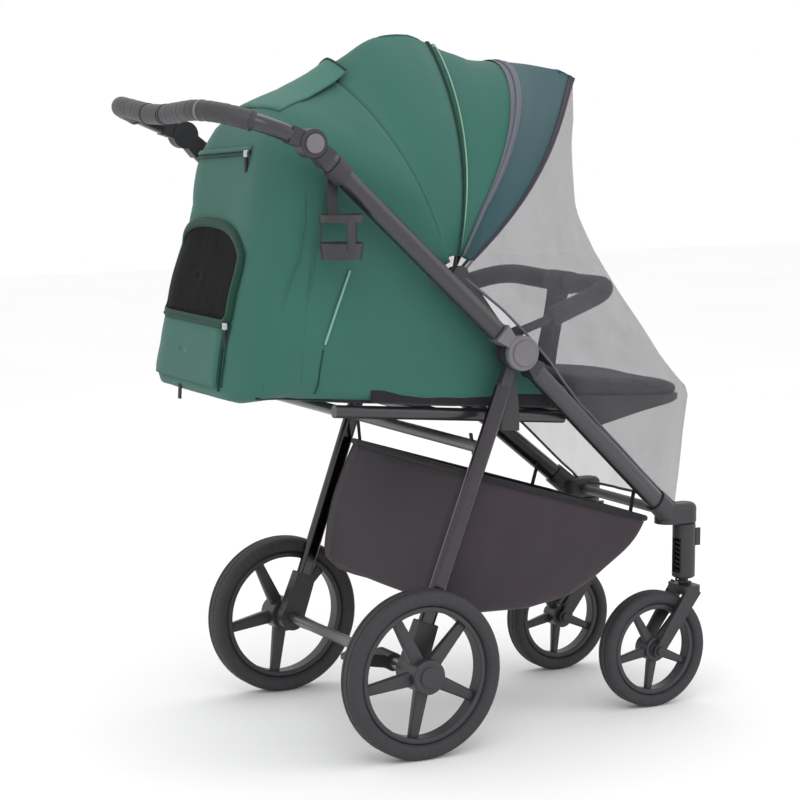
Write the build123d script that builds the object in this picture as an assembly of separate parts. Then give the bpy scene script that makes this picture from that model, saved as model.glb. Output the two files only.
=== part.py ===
from build123d import *
from math import cos, hypot, radians, sin
import os

# Pet stroller. Row frame in millimetres: +X forward, +Y left, +Z up, and the origin on the floor under
# the middle of the overall length. Paired pieces are built on the left side and mirrored to the right.

# Wheels
REAR_WHEEL_R = 145.0
FRONT_WHEEL_R = 106.0
WHEELBASE = 538.0
FRONT_AXLE_X = 401.0
REAR_AXLE_X = FRONT_AXLE_X - WHEELBASE
REAR_WHEEL_Y = 266.0
FRONT_WHEEL_Y = 160.0
REAR_TYRE = (45.0, 27.0)
FRONT_TYRE = (38.0, 22.0)
SPOKES = 5
REAR_SPOKE_PHASE, FRONT_SPOKE_PHASE = 27.0, 24.0
TREAD_GROOVE = (2.4, 3.0)
AXLE_R = 6.0
FORK_AXLE_R = 5.0
RUNNING = 0.1
HALF_WIDTH = 300.0

# Frame: hinge points in the X-Z plane
HUB = (56.0, 676.0)
HANDLE_PIVOT = (-333.0, 1034.0)
CANOPY_PIVOT = (-44.0, 810.0)
LEG_FOOT = (430.0, 352.0)
TUBE_Y = 252.0
LEG_FOOT_Y = 165.0
TUBE_W, TUBE_H, TUBE_WALL = 26.0, 34.0, 1.8
HUB_CLEAR = 54.0
JOINT_CLEAR = 42.0
PLUG_LENGTH = 28.0
PLUG_GAP = 0.2

# Hub stack, each layer as (inner y, outer y), and its radii
LAYER_PLATE = (226.0, 234.0)
LAYER_REAR = (235.0, 249.5)
LAYER_LEG = (250.5, 262.0)
LAYER_PUSH = (263.0, 275.0)
HUB_R = 30.0
HUB_REAR_R = 26.0
HUB_PIN_R = 8.0
COVER_PIN_R = 6.0
COVER_CAP_R = 22.0

# Rear frame
REAR_LEG_TOP = 64.0
REAR_LEG_W, REAR_LEG_T = 30.0, 17.0
REAR_LEG_TOP_Y, REAR_LEG_FOOT_Y = 242.5, 229.5
CROSS_BAR_RADIUS = 172.0
HOUSING_INNER, HOUSING_OUTER = 219.0, 242.5

# Caster and fork
CASTER_X = 469.0
CASTER_R = 21.0
CASTER_BOTTOM, CASTER_TOP = 232.0, 333.0
KNUCKLE_BOTTOM, KNUCKLE_TOP = 334.5, 370.0
STEM_R = 9.0
CROWN_BOTTOM, CROWN_TOP = 203.0, 219.0
FORK_INNER, FORK_OUTER = 22.0, 30.0
SPRING_R, SPRING_WIRE_R, SPRING_TURNS = 13.2, 1.9, 10
SPRING_TOP = 312.0
LOCK_HALF_WIDTH = 8.0

# Handle
BAR_R, BAR_WALL = 14.0, 2.0
GRIP_R = 17.0
HANDLE_X = -(FRONT_AXLE_X + FRONT_WHEEL_R) + GRIP_R
HANDLE_CORNER_Z = 1096.0
HANDLE_MIDDLE_Z = 1074.0
HANDLE_CORNER_RADIUS = 120.0
HANDLE_MIDDLE_RADIUS = 600.0
HANDLE_JOINT_R = 24.0
GRIP_START_X = -425.0

# Canopy: arches about the canopy pivot, as (half width, crown radius) of the inner face
SHELL = 3.0
ARCH_SHOULDER = 190.0
ARCH_FLAT = 8.0
WALL_CORNER = 60.0
PANEL_REAR = (206.0, 396.0)
PANEL_MID = (210.0, 400.0)
PANEL_FRONT = (214.0, 404.0)
VISOR = (218.0, 408.0)
VISOR_TIP_RADIUS = 470.0
EYE_CLEAR = 18.0
ANGLE_REAR, ANGLE_REAR_BOW, ANGLE_MID_BOW, ANGLE_FRONT_BOW = 113.0, 80.0, 59.0, 45.0
ANGLE_SQUARE, ANGLE_WALL = 133.5, 150.0
BOW_W, BOW_T = 10.0, 3.0
BOW_REAR = (199.0, 388.0)
BOW_MID = (193.0, 382.0)
BOW_FRONT = (222.5, 474.0)
BOW_EYE_R = 13.0
CANOPY_PIN_R = 5.0

# Cabin fabric; the rear wall leans forward, as (height, rear x) of its plan outline
CABIN_HALF = 209.0
CABIN_CORNER_R = 105.0
WALL_CROWN_DROP = 30.0
WALL_LEVELS = ((400, -441), (617, -436), (727, -422), (849, -388), (994, -366), (1250, -330))
FLOOR_FRONT = (165.0, 564.7)
FLOOR_REAR = (-434.0, 617.0)

# Soft seat
PAD_HALF = 185.0
BACKREST_HINGE = (-12.0, 592.0)
LEG_REST_HINGE = (240.0, 574.0)
LEG_REST_HALF = 152.0

# Bumper bar
BUMPER_START = (78.0, 220.5, 707.0)
BUMPER_KNEE = (121.0, 220.5, 720.2)
BUMPER_CORNER = (290.0, 190.0, 772.0)
BUMPER_MIDDLE = (303.0, 0.0, 766.0)
BUMPER_R = 7.5
BUMPER_KNEE_RADIUS, BUMPER_CORNER_RADIUS, BUMPER_MIDDLE_RADIUS = 100.0, 70.0, 500.0
BUMPER_GRIP_R = 18.0

# Insect net, as (height, front x, half width) from the visor down
NET_SECTIONS = (
    (1112, 296, 176), (900, 300, 216), (735, 342, 240), (650, 414, 226), (588, 499, 184), (380, 488, 162),
)

# Cup holder, on the right side
CUP_X, CUP_Y = -284.0, -264.0
CUP_R, CUP_WALL = 36.0, 3.0
CUP_BOTTOM, CUP_TOP = 848.0, 920.0


def unit(x, z):
    """Unit direction in the X-Z plane."""
    length = hypot(x, z)
    return x / length, z / length


PUSH_DIR = unit(HANDLE_PIVOT[0] - HUB[0], HANDLE_PIVOT[1] - HUB[1])
LEG_DIR = unit(LEG_FOOT[0] - HUB[0], LEG_FOOT[1] - HUB[1])
REAR_DIR = unit(REAR_AXLE_X - HUB[0], REAR_WHEEL_R - HUB[1])
ARM_DIR = unit(HANDLE_X - HANDLE_PIVOT[0], HANDLE_CORNER_Z - HANDLE_PIVOT[1])


def along(start, direction, distance):
    """Point at a distance from a start point, in the X-Z plane."""
    return start[0] + direction[0] * distance, start[1] + direction[1] * distance


def save(name, *solids):
    """Write one node, which may hold several separate solids."""
    shape = solids[0] if len(solids) == 1 else Compound(list(solids))
    export_step(shape, f"parts/{name}.step")


def to_right(shape):
    """The same piece on the right side of the stroller."""
    return mirror(shape, about=Plane.XZ)


def save_pair(name, left):
    save(f"{name}_left", left)
    save(f"{name}_right", to_right(left))


def disc(centre, radius, inner, outer):
    """Cylinder along +Y between two y values, centred on a point of the X-Z plane."""
    plane = Plane(origin=(centre[0], inner, centre[1]), x_dir=(1, 0, 0), z_dir=(0, 1, 0))
    return extrude(plane * Circle(radius), amount=outer - inner)


def side_plate(points, inner, outer):
    """Plate with an outline in the X-Z plane, between two y values."""
    outline = Polyline(*[(x, inner, z) for x, z in points], close=True)
    return extrude(make_face(outline), amount=outer - inner, dir=(0, 1, 0))


def section_plane(start, end):
    """Plane across a straight run: its x is sideways, and its y leans up."""
    run = (Vector(*end) - Vector(*start)).normalized()
    sideways = Vector(0, 0, 1).cross(run).normalized()
    return Plane(origin=start, x_dir=sideways, z_dir=run)


def oval_rod(start, end, width, height):
    """Solid rod with rounded edges, from start to end."""
    length = (Vector(*end) - Vector(*start)).length
    rounding = min(width, height) / 2 - 0.3
    return extrude(section_plane(start, end) * RectangleRounded(width, height, rounding), amount=length)


def oval_tube(start, end, width, height, wall):
    return oval_rod(start, end, width, height) - oval_rod(start, end, width - 2 * wall, height - 2 * wall)


def wedge(centre, direction, near, far, near_half, far_half, inner, outer):
    """Arm that widens from near_half to far_half between two distances from a centre."""
    across = (-direction[1], direction[0])
    corners = []
    for distance, half in ((near, near_half), (far, far_half), (far, -far_half), (near, -near_half)):
        x, z = along(centre, direction, distance)
        corners.append((x + across[0] * half, z + across[1] * half))
    return side_plate(corners, inner, outer)


def plug(start, end, width, height, wall):
    """Spigot that fills a tube's end with a small gap."""
    trim = 2 * (wall + PLUG_GAP)
    return oval_rod(start, end, width - trim, height - trim)


def leg_point(distance):
    """Point on the left front leg's axis, by distance from the hub in the X-Z plane."""
    x, z = along(HUB, LEG_DIR, distance)
    span = hypot(LEG_FOOT[0] - HUB[0], LEG_FOOT[1] - HUB[1])
    return x, 250.0 + (LEG_FOOT_Y - 250.0) * distance / span, z


def rear_leg_point(distance):
    """Point on the left rear leg's axis."""
    x, z = along(HUB, REAR_DIR, distance)
    span = hypot(REAR_AXLE_X - HUB[0], REAR_WHEEL_R - HUB[1])
    share = (distance - REAR_LEG_TOP) / (span - REAR_LEG_TOP)
    return x, REAR_LEG_TOP_Y + (REAR_LEG_FOOT_Y - REAR_LEG_TOP_Y) * share, z


# ---------------------------------------------------------------- wheels

def tyre(radius, width, height):
    """Tyre about the Y axis, with rounded shoulders and two tread grooves."""
    shape = revolve(Pos(radius - height / 2, 0) * RectangleRounded(height, width, height * 0.42), Axis.Y)
    groove_w, groove_d = TREAD_GROOVE
    for side in (-1, 1):
        shape -= revolve(Pos(radius, side * width * 0.16) * Rectangle(groove_d, groove_w), Axis.Y)
    return shape


def spoke(root_r, tip_r, root_w, tip_w, root_t, tip_t, root_y):
    """Tapered spoke along +X whose root stands further out than its tip."""
    root = Plane(origin=(root_r, root_y, 0), x_dir=(0, 0, 1), z_dir=(1, 0, 0))
    tip = Plane(origin=(tip_r, 0, 0), x_dir=(0, 0, 1), z_dir=(1, 0, 0))
    sections = [root * RectangleRounded(root_w, root_t, 5), tip * RectangleRounded(tip_w, tip_t, 4)]
    return loft(sections, ruled=True)


def rim(radius, tyre_height, width, hub_r, hub_inner, hub_outer, bore_r, bore_end, phase):
    """Five-spoke wheel centre about the Y axis, its outer face towards +Y."""
    seat_r = radius - tyre_height - 0.2
    hoop = revolve(Pos(seat_r - 5, 0) * RectangleRounded(10, width, 3), Axis.Y)
    wheel = hoop
    taper = hub_r * 0.85
    for index in range(SPOKES):
        angle = phase + index * 360 / SPOKES
        arm = spoke(hub_r * 0.55, seat_r - 6, taper, taper * 0.68, width * 0.62, width * 0.42, hub_outer * 0.2)
        wheel += Rot(0, angle, 0) * arm
    barrel = disc((0, 0), hub_r, hub_inner, hub_outer)
    barrel = fillet(barrel.edges().sort_by(Axis.Y)[-1], 4)
    cap = disc((0, 0), hub_r * 0.6, hub_outer - 1, hub_outer + 3)
    cap = fillet(cap.edges().sort_by(Axis.Y)[-1], 2)
    wheel += barrel
    wheel += cap
    return wheel - disc((0, 0), bore_r, hub_inner - 1, bore_end)


def rear_wheel():
    cap_y = HALF_WIDTH - REAR_WHEEL_Y - 3
    place = Pos(REAR_AXLE_X, REAR_WHEEL_Y, REAR_WHEEL_R)
    bore_r = AXLE_R + RUNNING
    centre = rim(REAR_WHEEL_R, REAR_TYRE[1], 30, 30, -19, cap_y, bore_r, cap_y - 2, REAR_SPOKE_PHASE)
    save_pair("rear_rim", place * centre)
    save_pair("rear_tyre", place * tyre(REAR_WHEEL_R, *REAR_TYRE))


def front_wheel():
    place = Pos(FRONT_AXLE_X, FRONT_WHEEL_Y, FRONT_WHEEL_R)
    bore_r = FORK_AXLE_R + RUNNING
    centre = rim(FRONT_WHEEL_R, FRONT_TYRE[1], 26, 22, -20, 17, bore_r, 30, FRONT_SPOKE_PHASE)
    save_pair("front_rim", place * centre)
    save_pair("front_tyre", place * tyre(FRONT_WHEEL_R, *FRONT_TYRE))


# ---------------------------------------------------------------- fixed frame

def front_leg():
    span = hypot(LEG_FOOT[0] - HUB[0], LEG_FOOT[1] - HUB[1])
    save_pair("front_leg", oval_tube(leg_point(HUB_CLEAR), leg_point(span), TUBE_W, TUBE_H, TUBE_WALL))


def hub_base():
    """Fixed half of the folding hub, with the canopy arm, seat lug and bumper socket."""
    body = disc(HUB, HUB_R - 2, *LAYER_PLATE)
    body += disc(HUB, HUB_R, *LAYER_LEG)
    body += disc(HUB, HUB_PIN_R, LAYER_PLATE[0], LAYER_LEG[1])
    body += disc(HUB, COVER_PIN_R, LAYER_LEG[1], LAYER_PUSH[0] + 8)
    arm = wedge(HUB, LEG_DIR, 20, HUB_CLEAR - 2.8, 8, 17, LAYER_PLATE[0], LAYER_LEG[1])
    body += arm - disc(HUB, HUB_REAR_R + 6.5, LAYER_REAR[0] - 1, LAYER_LEG[0])
    body += plug(leg_point(HUB_CLEAR - 6), leg_point(HUB_CLEAR + PLUG_LENGTH), TUBE_W, TUBE_H, TUBE_WALL)
    up = unit(CANOPY_PIVOT[0] - HUB[0], CANOPY_PIVOT[1] - HUB[1])
    reach = hypot(CANOPY_PIVOT[0] - HUB[0], CANOPY_PIVOT[1] - HUB[1])
    body += wedge(HUB, up, 10, reach, 13, 12, 228.5, LAYER_PLATE[1])
    body += disc(CANOPY_PIVOT, 15, 228.5, LAYER_PLATE[1])
    body += disc(CANOPY_PIVOT, CANOPY_PIN_R, 190, LAYER_PLATE[1])
    lug = [(46, 670), (66, 670), (74, 556), (74, 538), (40, 541), (40, 559)]
    body += side_plate(lug, LAYER_PLATE[0], 230.5)
    body += side_plate([(40, 541), (40, 559), (74, 556), (74, 538)], 202.2, LAYER_PLATE[0])
    socket_start, socket_end = bumper_point(-34), bumper_point(0)
    body += round_rod(socket_start, socket_end, 10.9)
    body -= round_rod(bumper_point(-26), bumper_point(1), BUMPER_R + 0.3)
    save_pair("hub_base", body)


def round_rod(start, end, radius):
    length = (Vector(*end) - Vector(*start)).length
    return extrude(section_plane(start, end) * Circle(radius), amount=length)


def bumper_point(distance):
    """Point on the sliding end of the bumper bar, from the mouth of its socket."""
    start, knee = Vector(*BUMPER_START), Vector(*BUMPER_KNEE)
    point = start + (knee - start).normalized() * distance
    return point.X, point.Y, point.Z


def front_knuckle():
    """Elbow between the front leg's foot and the upright caster bearing."""
    span = hypot(LEG_FOOT[0] - HUB[0], LEG_FOOT[1] - HUB[1])
    arm = Pos((LEG_FOOT[0] + CASTER_X) / 2, FRONT_WHEEL_Y, KNUCKLE_BOTTOM)
    outline = SlotCenterToCenter(CASTER_X - LEG_FOOT[0], 44)
    body = extrude(arm * outline, amount=KNUCKLE_TOP - KNUCKLE_BOTTOM)
    body = fillet(body.edges().group_by(Axis.Z)[-1], 11)
    body += oval_rod(leg_point(span - 44), leg_point(span + 3), TUBE_W + 7, TUBE_H + 7)
    body -= oval_rod(leg_point(span - 60), leg_point(span + 0.2), TUBE_W + 0.3, TUBE_H + 0.3)
    bore = Pos(CASTER_X, FRONT_WHEEL_Y, KNUCKLE_BOTTOM - 1) * Circle(8 + RUNNING)
    body -= extrude(bore, amount=30)
    save_pair("front_knuckle", body)


def front_cross_tube():
    half = FRONT_WHEEL_Y - 22
    plane = Plane(origin=(448, -half, 350), x_dir=(1, 0, 0), z_dir=(0, 1, 0))
    ring = plane * Circle(9) - plane * Circle(7.5)
    save("front_cross_tube", extrude(ring, amount=2 * half))


def floor_z(x):
    """Height of the cabin floor's underside."""
    slope = (FLOOR_REAR[1] - FLOOR_FRONT[1]) / (FLOOR_REAR[0] - FLOOR_FRONT[0])
    return FLOOR_FRONT[1] + slope * (x - FLOOR_FRONT[0])


def seat_frame():
    """Welded tube frame under the cabin: two rails and three cross tubes."""
    drop = 13.0
    rear, front, rail_y = -262.0, 186.0, 192.0
    rear_end = (rear, rail_y, floor_z(rear) - drop)
    front_end = (front, rail_y, floor_z(front) - drop)
    frame = None
    for side in (-1, 1):
        start = (rear_end[0], side * rear_end[1], rear_end[2])
        end = (front_end[0], side * front_end[1], front_end[2])
        rail = oval_rod(start, end, 20, 22)
        frame = rail if frame is None else frame + rail
    for x in (rear + 12, -60.0, front - 12):
        level = floor_z(x) - drop
        frame += oval_rod((x, -rail_y, level), (x, rail_y, level), 20, 18)
    save("seat_frame", frame)


# ---------------------------------------------------------------- rear frame

def rear_leg():
    end = hypot(REAR_AXLE_X - HUB[0], REAR_WHEEL_R - HUB[1]) - 30
    leg = oval_tube(rear_leg_point(REAR_LEG_TOP), rear_leg_point(end), REAR_LEG_T, REAR_LEG_W, 1.6)
    save_pair("rear_leg", leg)


def rear_hub_arm():
    """Pivot disc between the fixed hub plates, with a spigot into the rear leg."""
    body = disc(HUB, HUB_REAR_R, *LAYER_REAR)
    body += wedge(HUB, REAR_DIR, 10, REAR_LEG_TOP - 0.6, 9, 11, *LAYER_REAR)
    body += plug(rear_leg_point(REAR_LEG_TOP - 6), rear_leg_point(REAR_LEG_TOP + 26), REAR_LEG_T, REAR_LEG_W, 1.6)
    body -= disc(HUB, HUB_PIN_R + RUNNING, LAYER_REAR[0] - 1, LAYER_REAR[1] + 1)
    save("rear_hub_arms", body, to_right(body))


def rear_housing():
    """Cast foot that joins the rear leg to the axle."""
    axle = (REAR_AXLE_X, REAR_WHEEL_R)
    up = (-REAR_DIR[0], -REAR_DIR[1])
    body = disc(axle, 24, HOUSING_INNER, HOUSING_OUTER)
    body += wedge(axle, up, 0, 84, 22, 19, HOUSING_INNER, HOUSING_OUTER)
    body = fillet(body.edges().filter_by(Axis.Y), 3)
    reach = hypot(REAR_AXLE_X - HUB[0], REAR_WHEEL_R - HUB[1])
    body -= oval_rod(rear_leg_point(reach - 100), rear_leg_point(reach - 29.7), REAR_LEG_T + 0.3, REAR_LEG_W + 0.3)
    body -= disc(axle, AXLE_R + 0.15, HOUSING_INNER - 1, HOUSING_OUTER + 1)
    save("rear_housings", body, to_right(body))


def rear_axle():
    """Axle tube with turned ends that carry the wheels."""
    axle = (REAR_AXLE_X, REAR_WHEEL_R)
    shaft = disc(axle, 10, -HOUSING_INNER + 0.3, HOUSING_INNER - 0.3)
    shaft += disc(axle, AXLE_R, -294, 294)
    save("rear_axle", shaft)


def rear_cross_bar():
    """Moulded bar that ties the two rear legs together."""
    x, z = along(HUB, REAR_DIR, CROSS_BAR_RADIUS)
    inner = rear_leg_point(CROSS_BAR_RADIUS)[1] - REAR_LEG_T / 2 - 0.8
    bar = oval_rod((x, -inner, z), (x, inner, z), 26, 18)
    save("rear_cross_bar", bar)


def brake_pedal():
    """Foot pedal that turns on the axle tube."""
    axle = (REAR_AXLE_X, REAR_WHEEL_R)
    body = disc(axle, 16, -170, -120)
    pad = [(-150, 158), (-192, 166), (-214, 158), (-214, 148), (-150, 136)]
    body += fillet(side_plate(pad, -170, -120).edges().filter_by(Axis.Y), 3)
    body -= disc(axle, 10 + RUNNING, -171, -119)
    save("brake_pedal", body)


# ---------------------------------------------------------------- casters

def caster_housing():
    """Upright caster body: bearing stud on top, spring chamber and stem guide inside."""
    place = Pos(CASTER_X, FRONT_WHEEL_Y, 0)
    shell = place * extrude(Plane.XY.offset(CASTER_BOTTOM) * Circle(CASTER_R), amount=CASTER_TOP - CASTER_BOTTOM)
    shell = chamfer(shell.edges().filter_by(GeomType.CIRCLE), 2)
    shell += place * extrude(Plane.XY.offset(CASTER_TOP - 1) * Circle(8), amount=29)
    chamber = Plane.XY.offset(CASTER_BOTTOM - 1) * Circle(SPRING_R + 3.4)
    shell -= place * extrude(chamber, amount=SPRING_TOP - CASTER_BOTTOM + 1)
    shell -= place * extrude(Plane.XY.offset(CASTER_BOTTOM) * Circle(STEM_R + RUNNING), amount=97)
    shell -= Pos(CASTER_X - CASTER_R, FRONT_WHEEL_Y, 274) * Box(26, 27, 64)
    for side in (-1, 1):
        rail = Pos(CASTER_X + CASTER_R + 2, FRONT_WHEEL_Y + side * (LOCK_HALF_WIDTH + 2.2), 306)
        shell += rail * Box(10, 3.8, 32)
    return shell


def fork():
    """Sliding stem with a crown and two blades down to the front axle."""
    place = Pos(CASTER_X, FRONT_WHEEL_Y, 0)
    body = place * extrude(Plane.XY.offset(CROWN_TOP - 2) * Circle(STEM_R), amount=98)
    crown = Pos(CASTER_X + 2, FRONT_WHEEL_Y, (CROWN_BOTTOM + CROWN_TOP) / 2)
    crown_box = crown * Box(36, 2 * FORK_OUTER, CROWN_TOP - CROWN_BOTTOM)
    body += fillet(crown_box.edges().filter_by(Axis.Z), 8)
    foot = (FRONT_AXLE_X, FRONT_WHEEL_R)
    down = unit(FRONT_AXLE_X - CASTER_X, FRONT_WHEEL_R - CROWN_BOTTOM)
    length = hypot(FRONT_AXLE_X - CASTER_X, FRONT_WHEEL_R - CROWN_BOTTOM)
    for side in (-1, 1):
        low, high = sorted((FRONT_WHEEL_Y + side * FORK_INNER, FRONT_WHEEL_Y + side * FORK_OUTER))
        blade = wedge((CASTER_X + 2, CROWN_BOTTOM + 4), down, -8, length, 15, 10, low, high)
        blade += disc(foot, 13, low, high)
        body += blade
    body += disc(foot, FORK_AXLE_R, FRONT_WHEEL_Y - FORK_OUTER, FRONT_WHEEL_Y + FORK_OUTER)
    for low, high in ((-FORK_OUTER - 4, -FORK_OUTER), (FORK_OUTER, FORK_OUTER + 4)):
        body += disc(foot, 8, FRONT_WHEEL_Y + low, FRONT_WHEEL_Y + high)
    return body


def fork_spring():
    """Coil spring round the stem, between the crown and the housing."""
    base = CROWN_TOP + SPRING_WIRE_R + 0.3
    height = SPRING_TOP - SPRING_WIRE_R - 0.3 - base
    helix = Helix(pitch=height / SPRING_TURNS, height=height, radius=SPRING_R)
    wire = sweep(Plane(origin=helix @ 0, z_dir=helix % 0) * Circle(SPRING_WIRE_R), path=helix)
    return Pos(CASTER_X, FRONT_WHEEL_Y, base) * wire


def swivel_lock():
    """Tab on the front of the caster housing that is pushed up to lock the swivel."""
    tab = Pos(CASTER_X + CASTER_R + 3.6, FRONT_WHEEL_Y, 306) * Box(6, 2 * LOCK_HALF_WIDTH, 20)
    return fillet(tab.edges().filter_by(Axis.Y), 2)


def casters():
    save_pair("caster_housing", caster_housing())
    save_pair("fork", fork())
    save_pair("fork_spring", fork_spring())
    save_pair("swivel_lock", swivel_lock())


# ---------------------------------------------------------------- push frame and handle

def joint_point(distance):
    """Point on the push frame's left tube, by distance from the handle pivot towards the hub."""
    x, z = along(HANDLE_PIVOT, (-PUSH_DIR[0], -PUSH_DIR[1]), distance)
    return x, TUBE_Y, z


def push_point(distance):
    """Point on the push frame's left tube, by distance from the hub."""
    x, z = along(HUB, PUSH_DIR, distance)
    return x, TUBE_Y, z


def upper_tube():
    save_pair("upper_tube", oval_tube(push_point(HUB_CLEAR), joint_point(JOINT_CLEAR), TUBE_W, TUBE_H, TUBE_WALL))


def hub_cover():
    """Outer half of the folding hub, carried by the push frame."""
    inner, outer = LAYER_PUSH
    body = fillet(disc(HUB, HUB_R, inner, outer).edges().sort_by(Axis.Y)[-1], 4)
    body += fillet(disc(HUB, COVER_CAP_R, outer - 1, outer + 4).edges().sort_by(Axis.Y)[-1], 3)
    tube_inner = TUBE_Y - TUBE_W / 2
    arm = wedge(HUB, PUSH_DIR, 22, HUB_CLEAR, 9, 17, tube_inner, outer - 3)
    body += arm - disc(HUB, HUB_R + 1, tube_inner - 1, inner - 0.4)
    body += plug(push_point(HUB_CLEAR - 3), push_point(HUB_CLEAR + PLUG_LENGTH), TUBE_W, TUBE_H, TUBE_WALL)
    body -= disc(HUB, COVER_PIN_R + RUNNING, inner - 1, inner + 9)
    save("hub_covers", body, to_right(body))


def handle_joint_lower():
    """Inner half of the handle joint, plugged into the push frame's tube."""
    inner = TUBE_Y - TUBE_W / 2
    body = disc(HANDLE_PIVOT, HANDLE_JOINT_R, inner, inner + 12.5)
    arm = wedge(HANDLE_PIVOT, (-PUSH_DIR[0], -PUSH_DIR[1]), 12, JOINT_CLEAR, 14, 17, inner, inner + TUBE_W)
    body += arm - disc(HANDLE_PIVOT, HANDLE_JOINT_R + 1, inner + 12.5, inner + TUBE_W + 5)
    body += plug(joint_point(JOINT_CLEAR - 3), joint_point(JOINT_CLEAR + PLUG_LENGTH), TUBE_W, TUBE_H, TUBE_WALL)
    body += disc(HANDLE_PIVOT, 7, inner + 12, inner + 18.5)
    save("handle_joint_lower", body, to_right(body))


def arm_point(distance):
    """Point on the handle bar's left arm, by distance from the handle pivot."""
    x, z = along(HANDLE_PIVOT, ARM_DIR, distance)
    return x, TUBE_Y, z


def handle_joint_upper():
    """Outer half of the handle joint, with a recess for its button."""
    inner = TUBE_Y - TUBE_W / 2
    face = inner + 29
    body = fillet(disc(HANDLE_PIVOT, HANDLE_JOINT_R, inner + 13, face).edges().sort_by(Axis.Y)[-1], 3)
    arm = wedge(HANDLE_PIVOT, ARM_DIR, 12, JOINT_CLEAR, 13, 15, inner, inner + TUBE_W)
    body += arm - disc(HANDLE_PIVOT, HANDLE_JOINT_R + 1, inner - 1, inner + 13)
    body += round_rod(arm_point(JOINT_CLEAR - 3), arm_point(JOINT_CLEAR + 7), BAR_R - BAR_WALL - PLUG_GAP)
    body -= disc(HANDLE_PIVOT, 7 + RUNNING, inner + 12, inner + 20)
    body -= disc(HANDLE_PIVOT, 16.4, inner + 19, face + 1)
    save("handle_joint_upper", body, to_right(body))


def handle_button():
    face = TUBE_Y - TUBE_W / 2 + 29
    body = disc(HANDLE_PIVOT, 16, face - 5, face + 4)
    save_pair("handle_button", fillet(body.edges().sort_by(Axis.Y)[-1], 2.5))


def handle_path(start):
    """Centre line of the U-shaped bar, from a distance along its left arm to the same on the right."""
    first = arm_point(start)
    corner = (HANDLE_X, TUBE_Y, HANDLE_CORNER_Z)
    middle = (HANDLE_X, 0, HANDLE_MIDDLE_Z)
    points = [first, corner, middle]
    points += [(x, -y, z) for x, y, z in (corner, first)]
    radii = [HANDLE_CORNER_RADIUS, HANDLE_MIDDLE_RADIUS, HANDLE_CORNER_RADIUS]
    return FilletPolyline(*points, radius=radii)


def swept_round(path, radius):
    return sweep(Plane(origin=path @ 0, z_dir=path % 0) * Circle(radius), path=path)


def handle_bar():
    path = handle_path(JOINT_CLEAR)
    save("handle_bar", swept_round(path, BAR_R) - swept_round(path, BAR_R - BAR_WALL))


def handle_grip():
    """Leather cover in two sleeves, open in the middle for the fold trigger."""
    path = handle_path(JOINT_CLEAR)
    cover = swept_round(path, GRIP_R) - swept_round(path, BAR_R + 0.15)
    cover &= Pos(GRIP_START_X - 100, 0, HANDLE_CORNER_Z) * Box(200, 2 * HALF_WIDTH, 200)
    gap = Pos(HANDLE_X, 0, HANDLE_MIDDLE_Z) * Box(80, 64, 80)
    sleeves = (cover - gap).solids()
    save("handle_grip", *sleeves)


def fold_trigger():
    """Twist sleeve in the middle of the handle, with a thumb tab on its front."""
    centre = (HANDLE_X, HANDLE_MIDDLE_Z + 2.7)
    body = disc(centre, GRIP_R, -31, 31)
    tab = Pos(HANDLE_X + GRIP_R, 0, HANDLE_MIDDLE_Z - 3) * Box(10, 30, 14)
    body += fillet(tab.edges().filter_by(Axis.Z), 3)
    save("fold_trigger", body - disc(centre, BAR_R + 0.9, -32, 32))


def cup_holder_clamp():
    """Sleeve round the right tube with a pin for the cup holder."""
    distance = hypot(CUP_X - HUB[0], (CUP_X - HUB[0]) * PUSH_DIR[1] / PUSH_DIR[0])
    start, end = push_point(distance - 14), push_point(distance + 14)
    sleeve = oval_rod(start, end, TUBE_W + 7, TUBE_H + 7)
    x, _, z = push_point(distance)
    sleeve += disc((x, z), 7, TUBE_Y - TUBE_W / 2 - 4.5, TUBE_Y - 5)
    sleeve += disc((x, z), 4, 227.3, TUBE_Y - 5)
    sleeve -= oval_rod(push_point(distance - 20), push_point(distance + 20), TUBE_W + 0.3, TUBE_H + 0.3)
    save("cup_holder_clamp", to_right(sleeve))


def cup_holder():
    """Open cage: cup base, upper ring, three struts and a hanger up to the clamp's pin."""
    pin_z = HUB[1] + (CUP_X - HUB[0]) * PUSH_DIR[1] / PUSH_DIR[0]
    place = Pos(CUP_X, CUP_Y, 0)
    base = extrude(Plane.XY.offset(CUP_BOTTOM) * Circle(CUP_R - 3), amount=26, taper=-6)
    hollow = extrude(Plane.XY.offset(CUP_BOTTOM + 4) * Circle(CUP_R - 6), amount=30, taper=-6)
    ring = extrude(Plane.XY.offset(CUP_TOP - 12) * Circle(CUP_R), amount=12)
    ring -= extrude(Plane.XY.offset(CUP_TOP - 13) * Circle(CUP_R - CUP_WALL), amount=14)
    body = place * (base - hollow + ring)
    for angle in (30, 150, 270):
        strut = Rot(0, 0, angle) * (Pos(CUP_R - 1.8, 0, (CUP_BOTTOM + CUP_TOP) / 2 + 6) * Box(3.2, 14, 52))
        body += place * strut
    hanger = [(CUP_X - 10, CUP_TOP - 12), (CUP_X + 10, CUP_TOP - 12), (CUP_X + 8, pin_z), (CUP_X - 8, pin_z)]
    body += side_plate(hanger, -234, -228)
    body += disc((CUP_X, pin_z), 10, -234, -228)
    body -= disc((CUP_X, pin_z), 4 + RUNNING, -235, -227)
    return body


# ---------------------------------------------------------------- canopy

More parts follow.
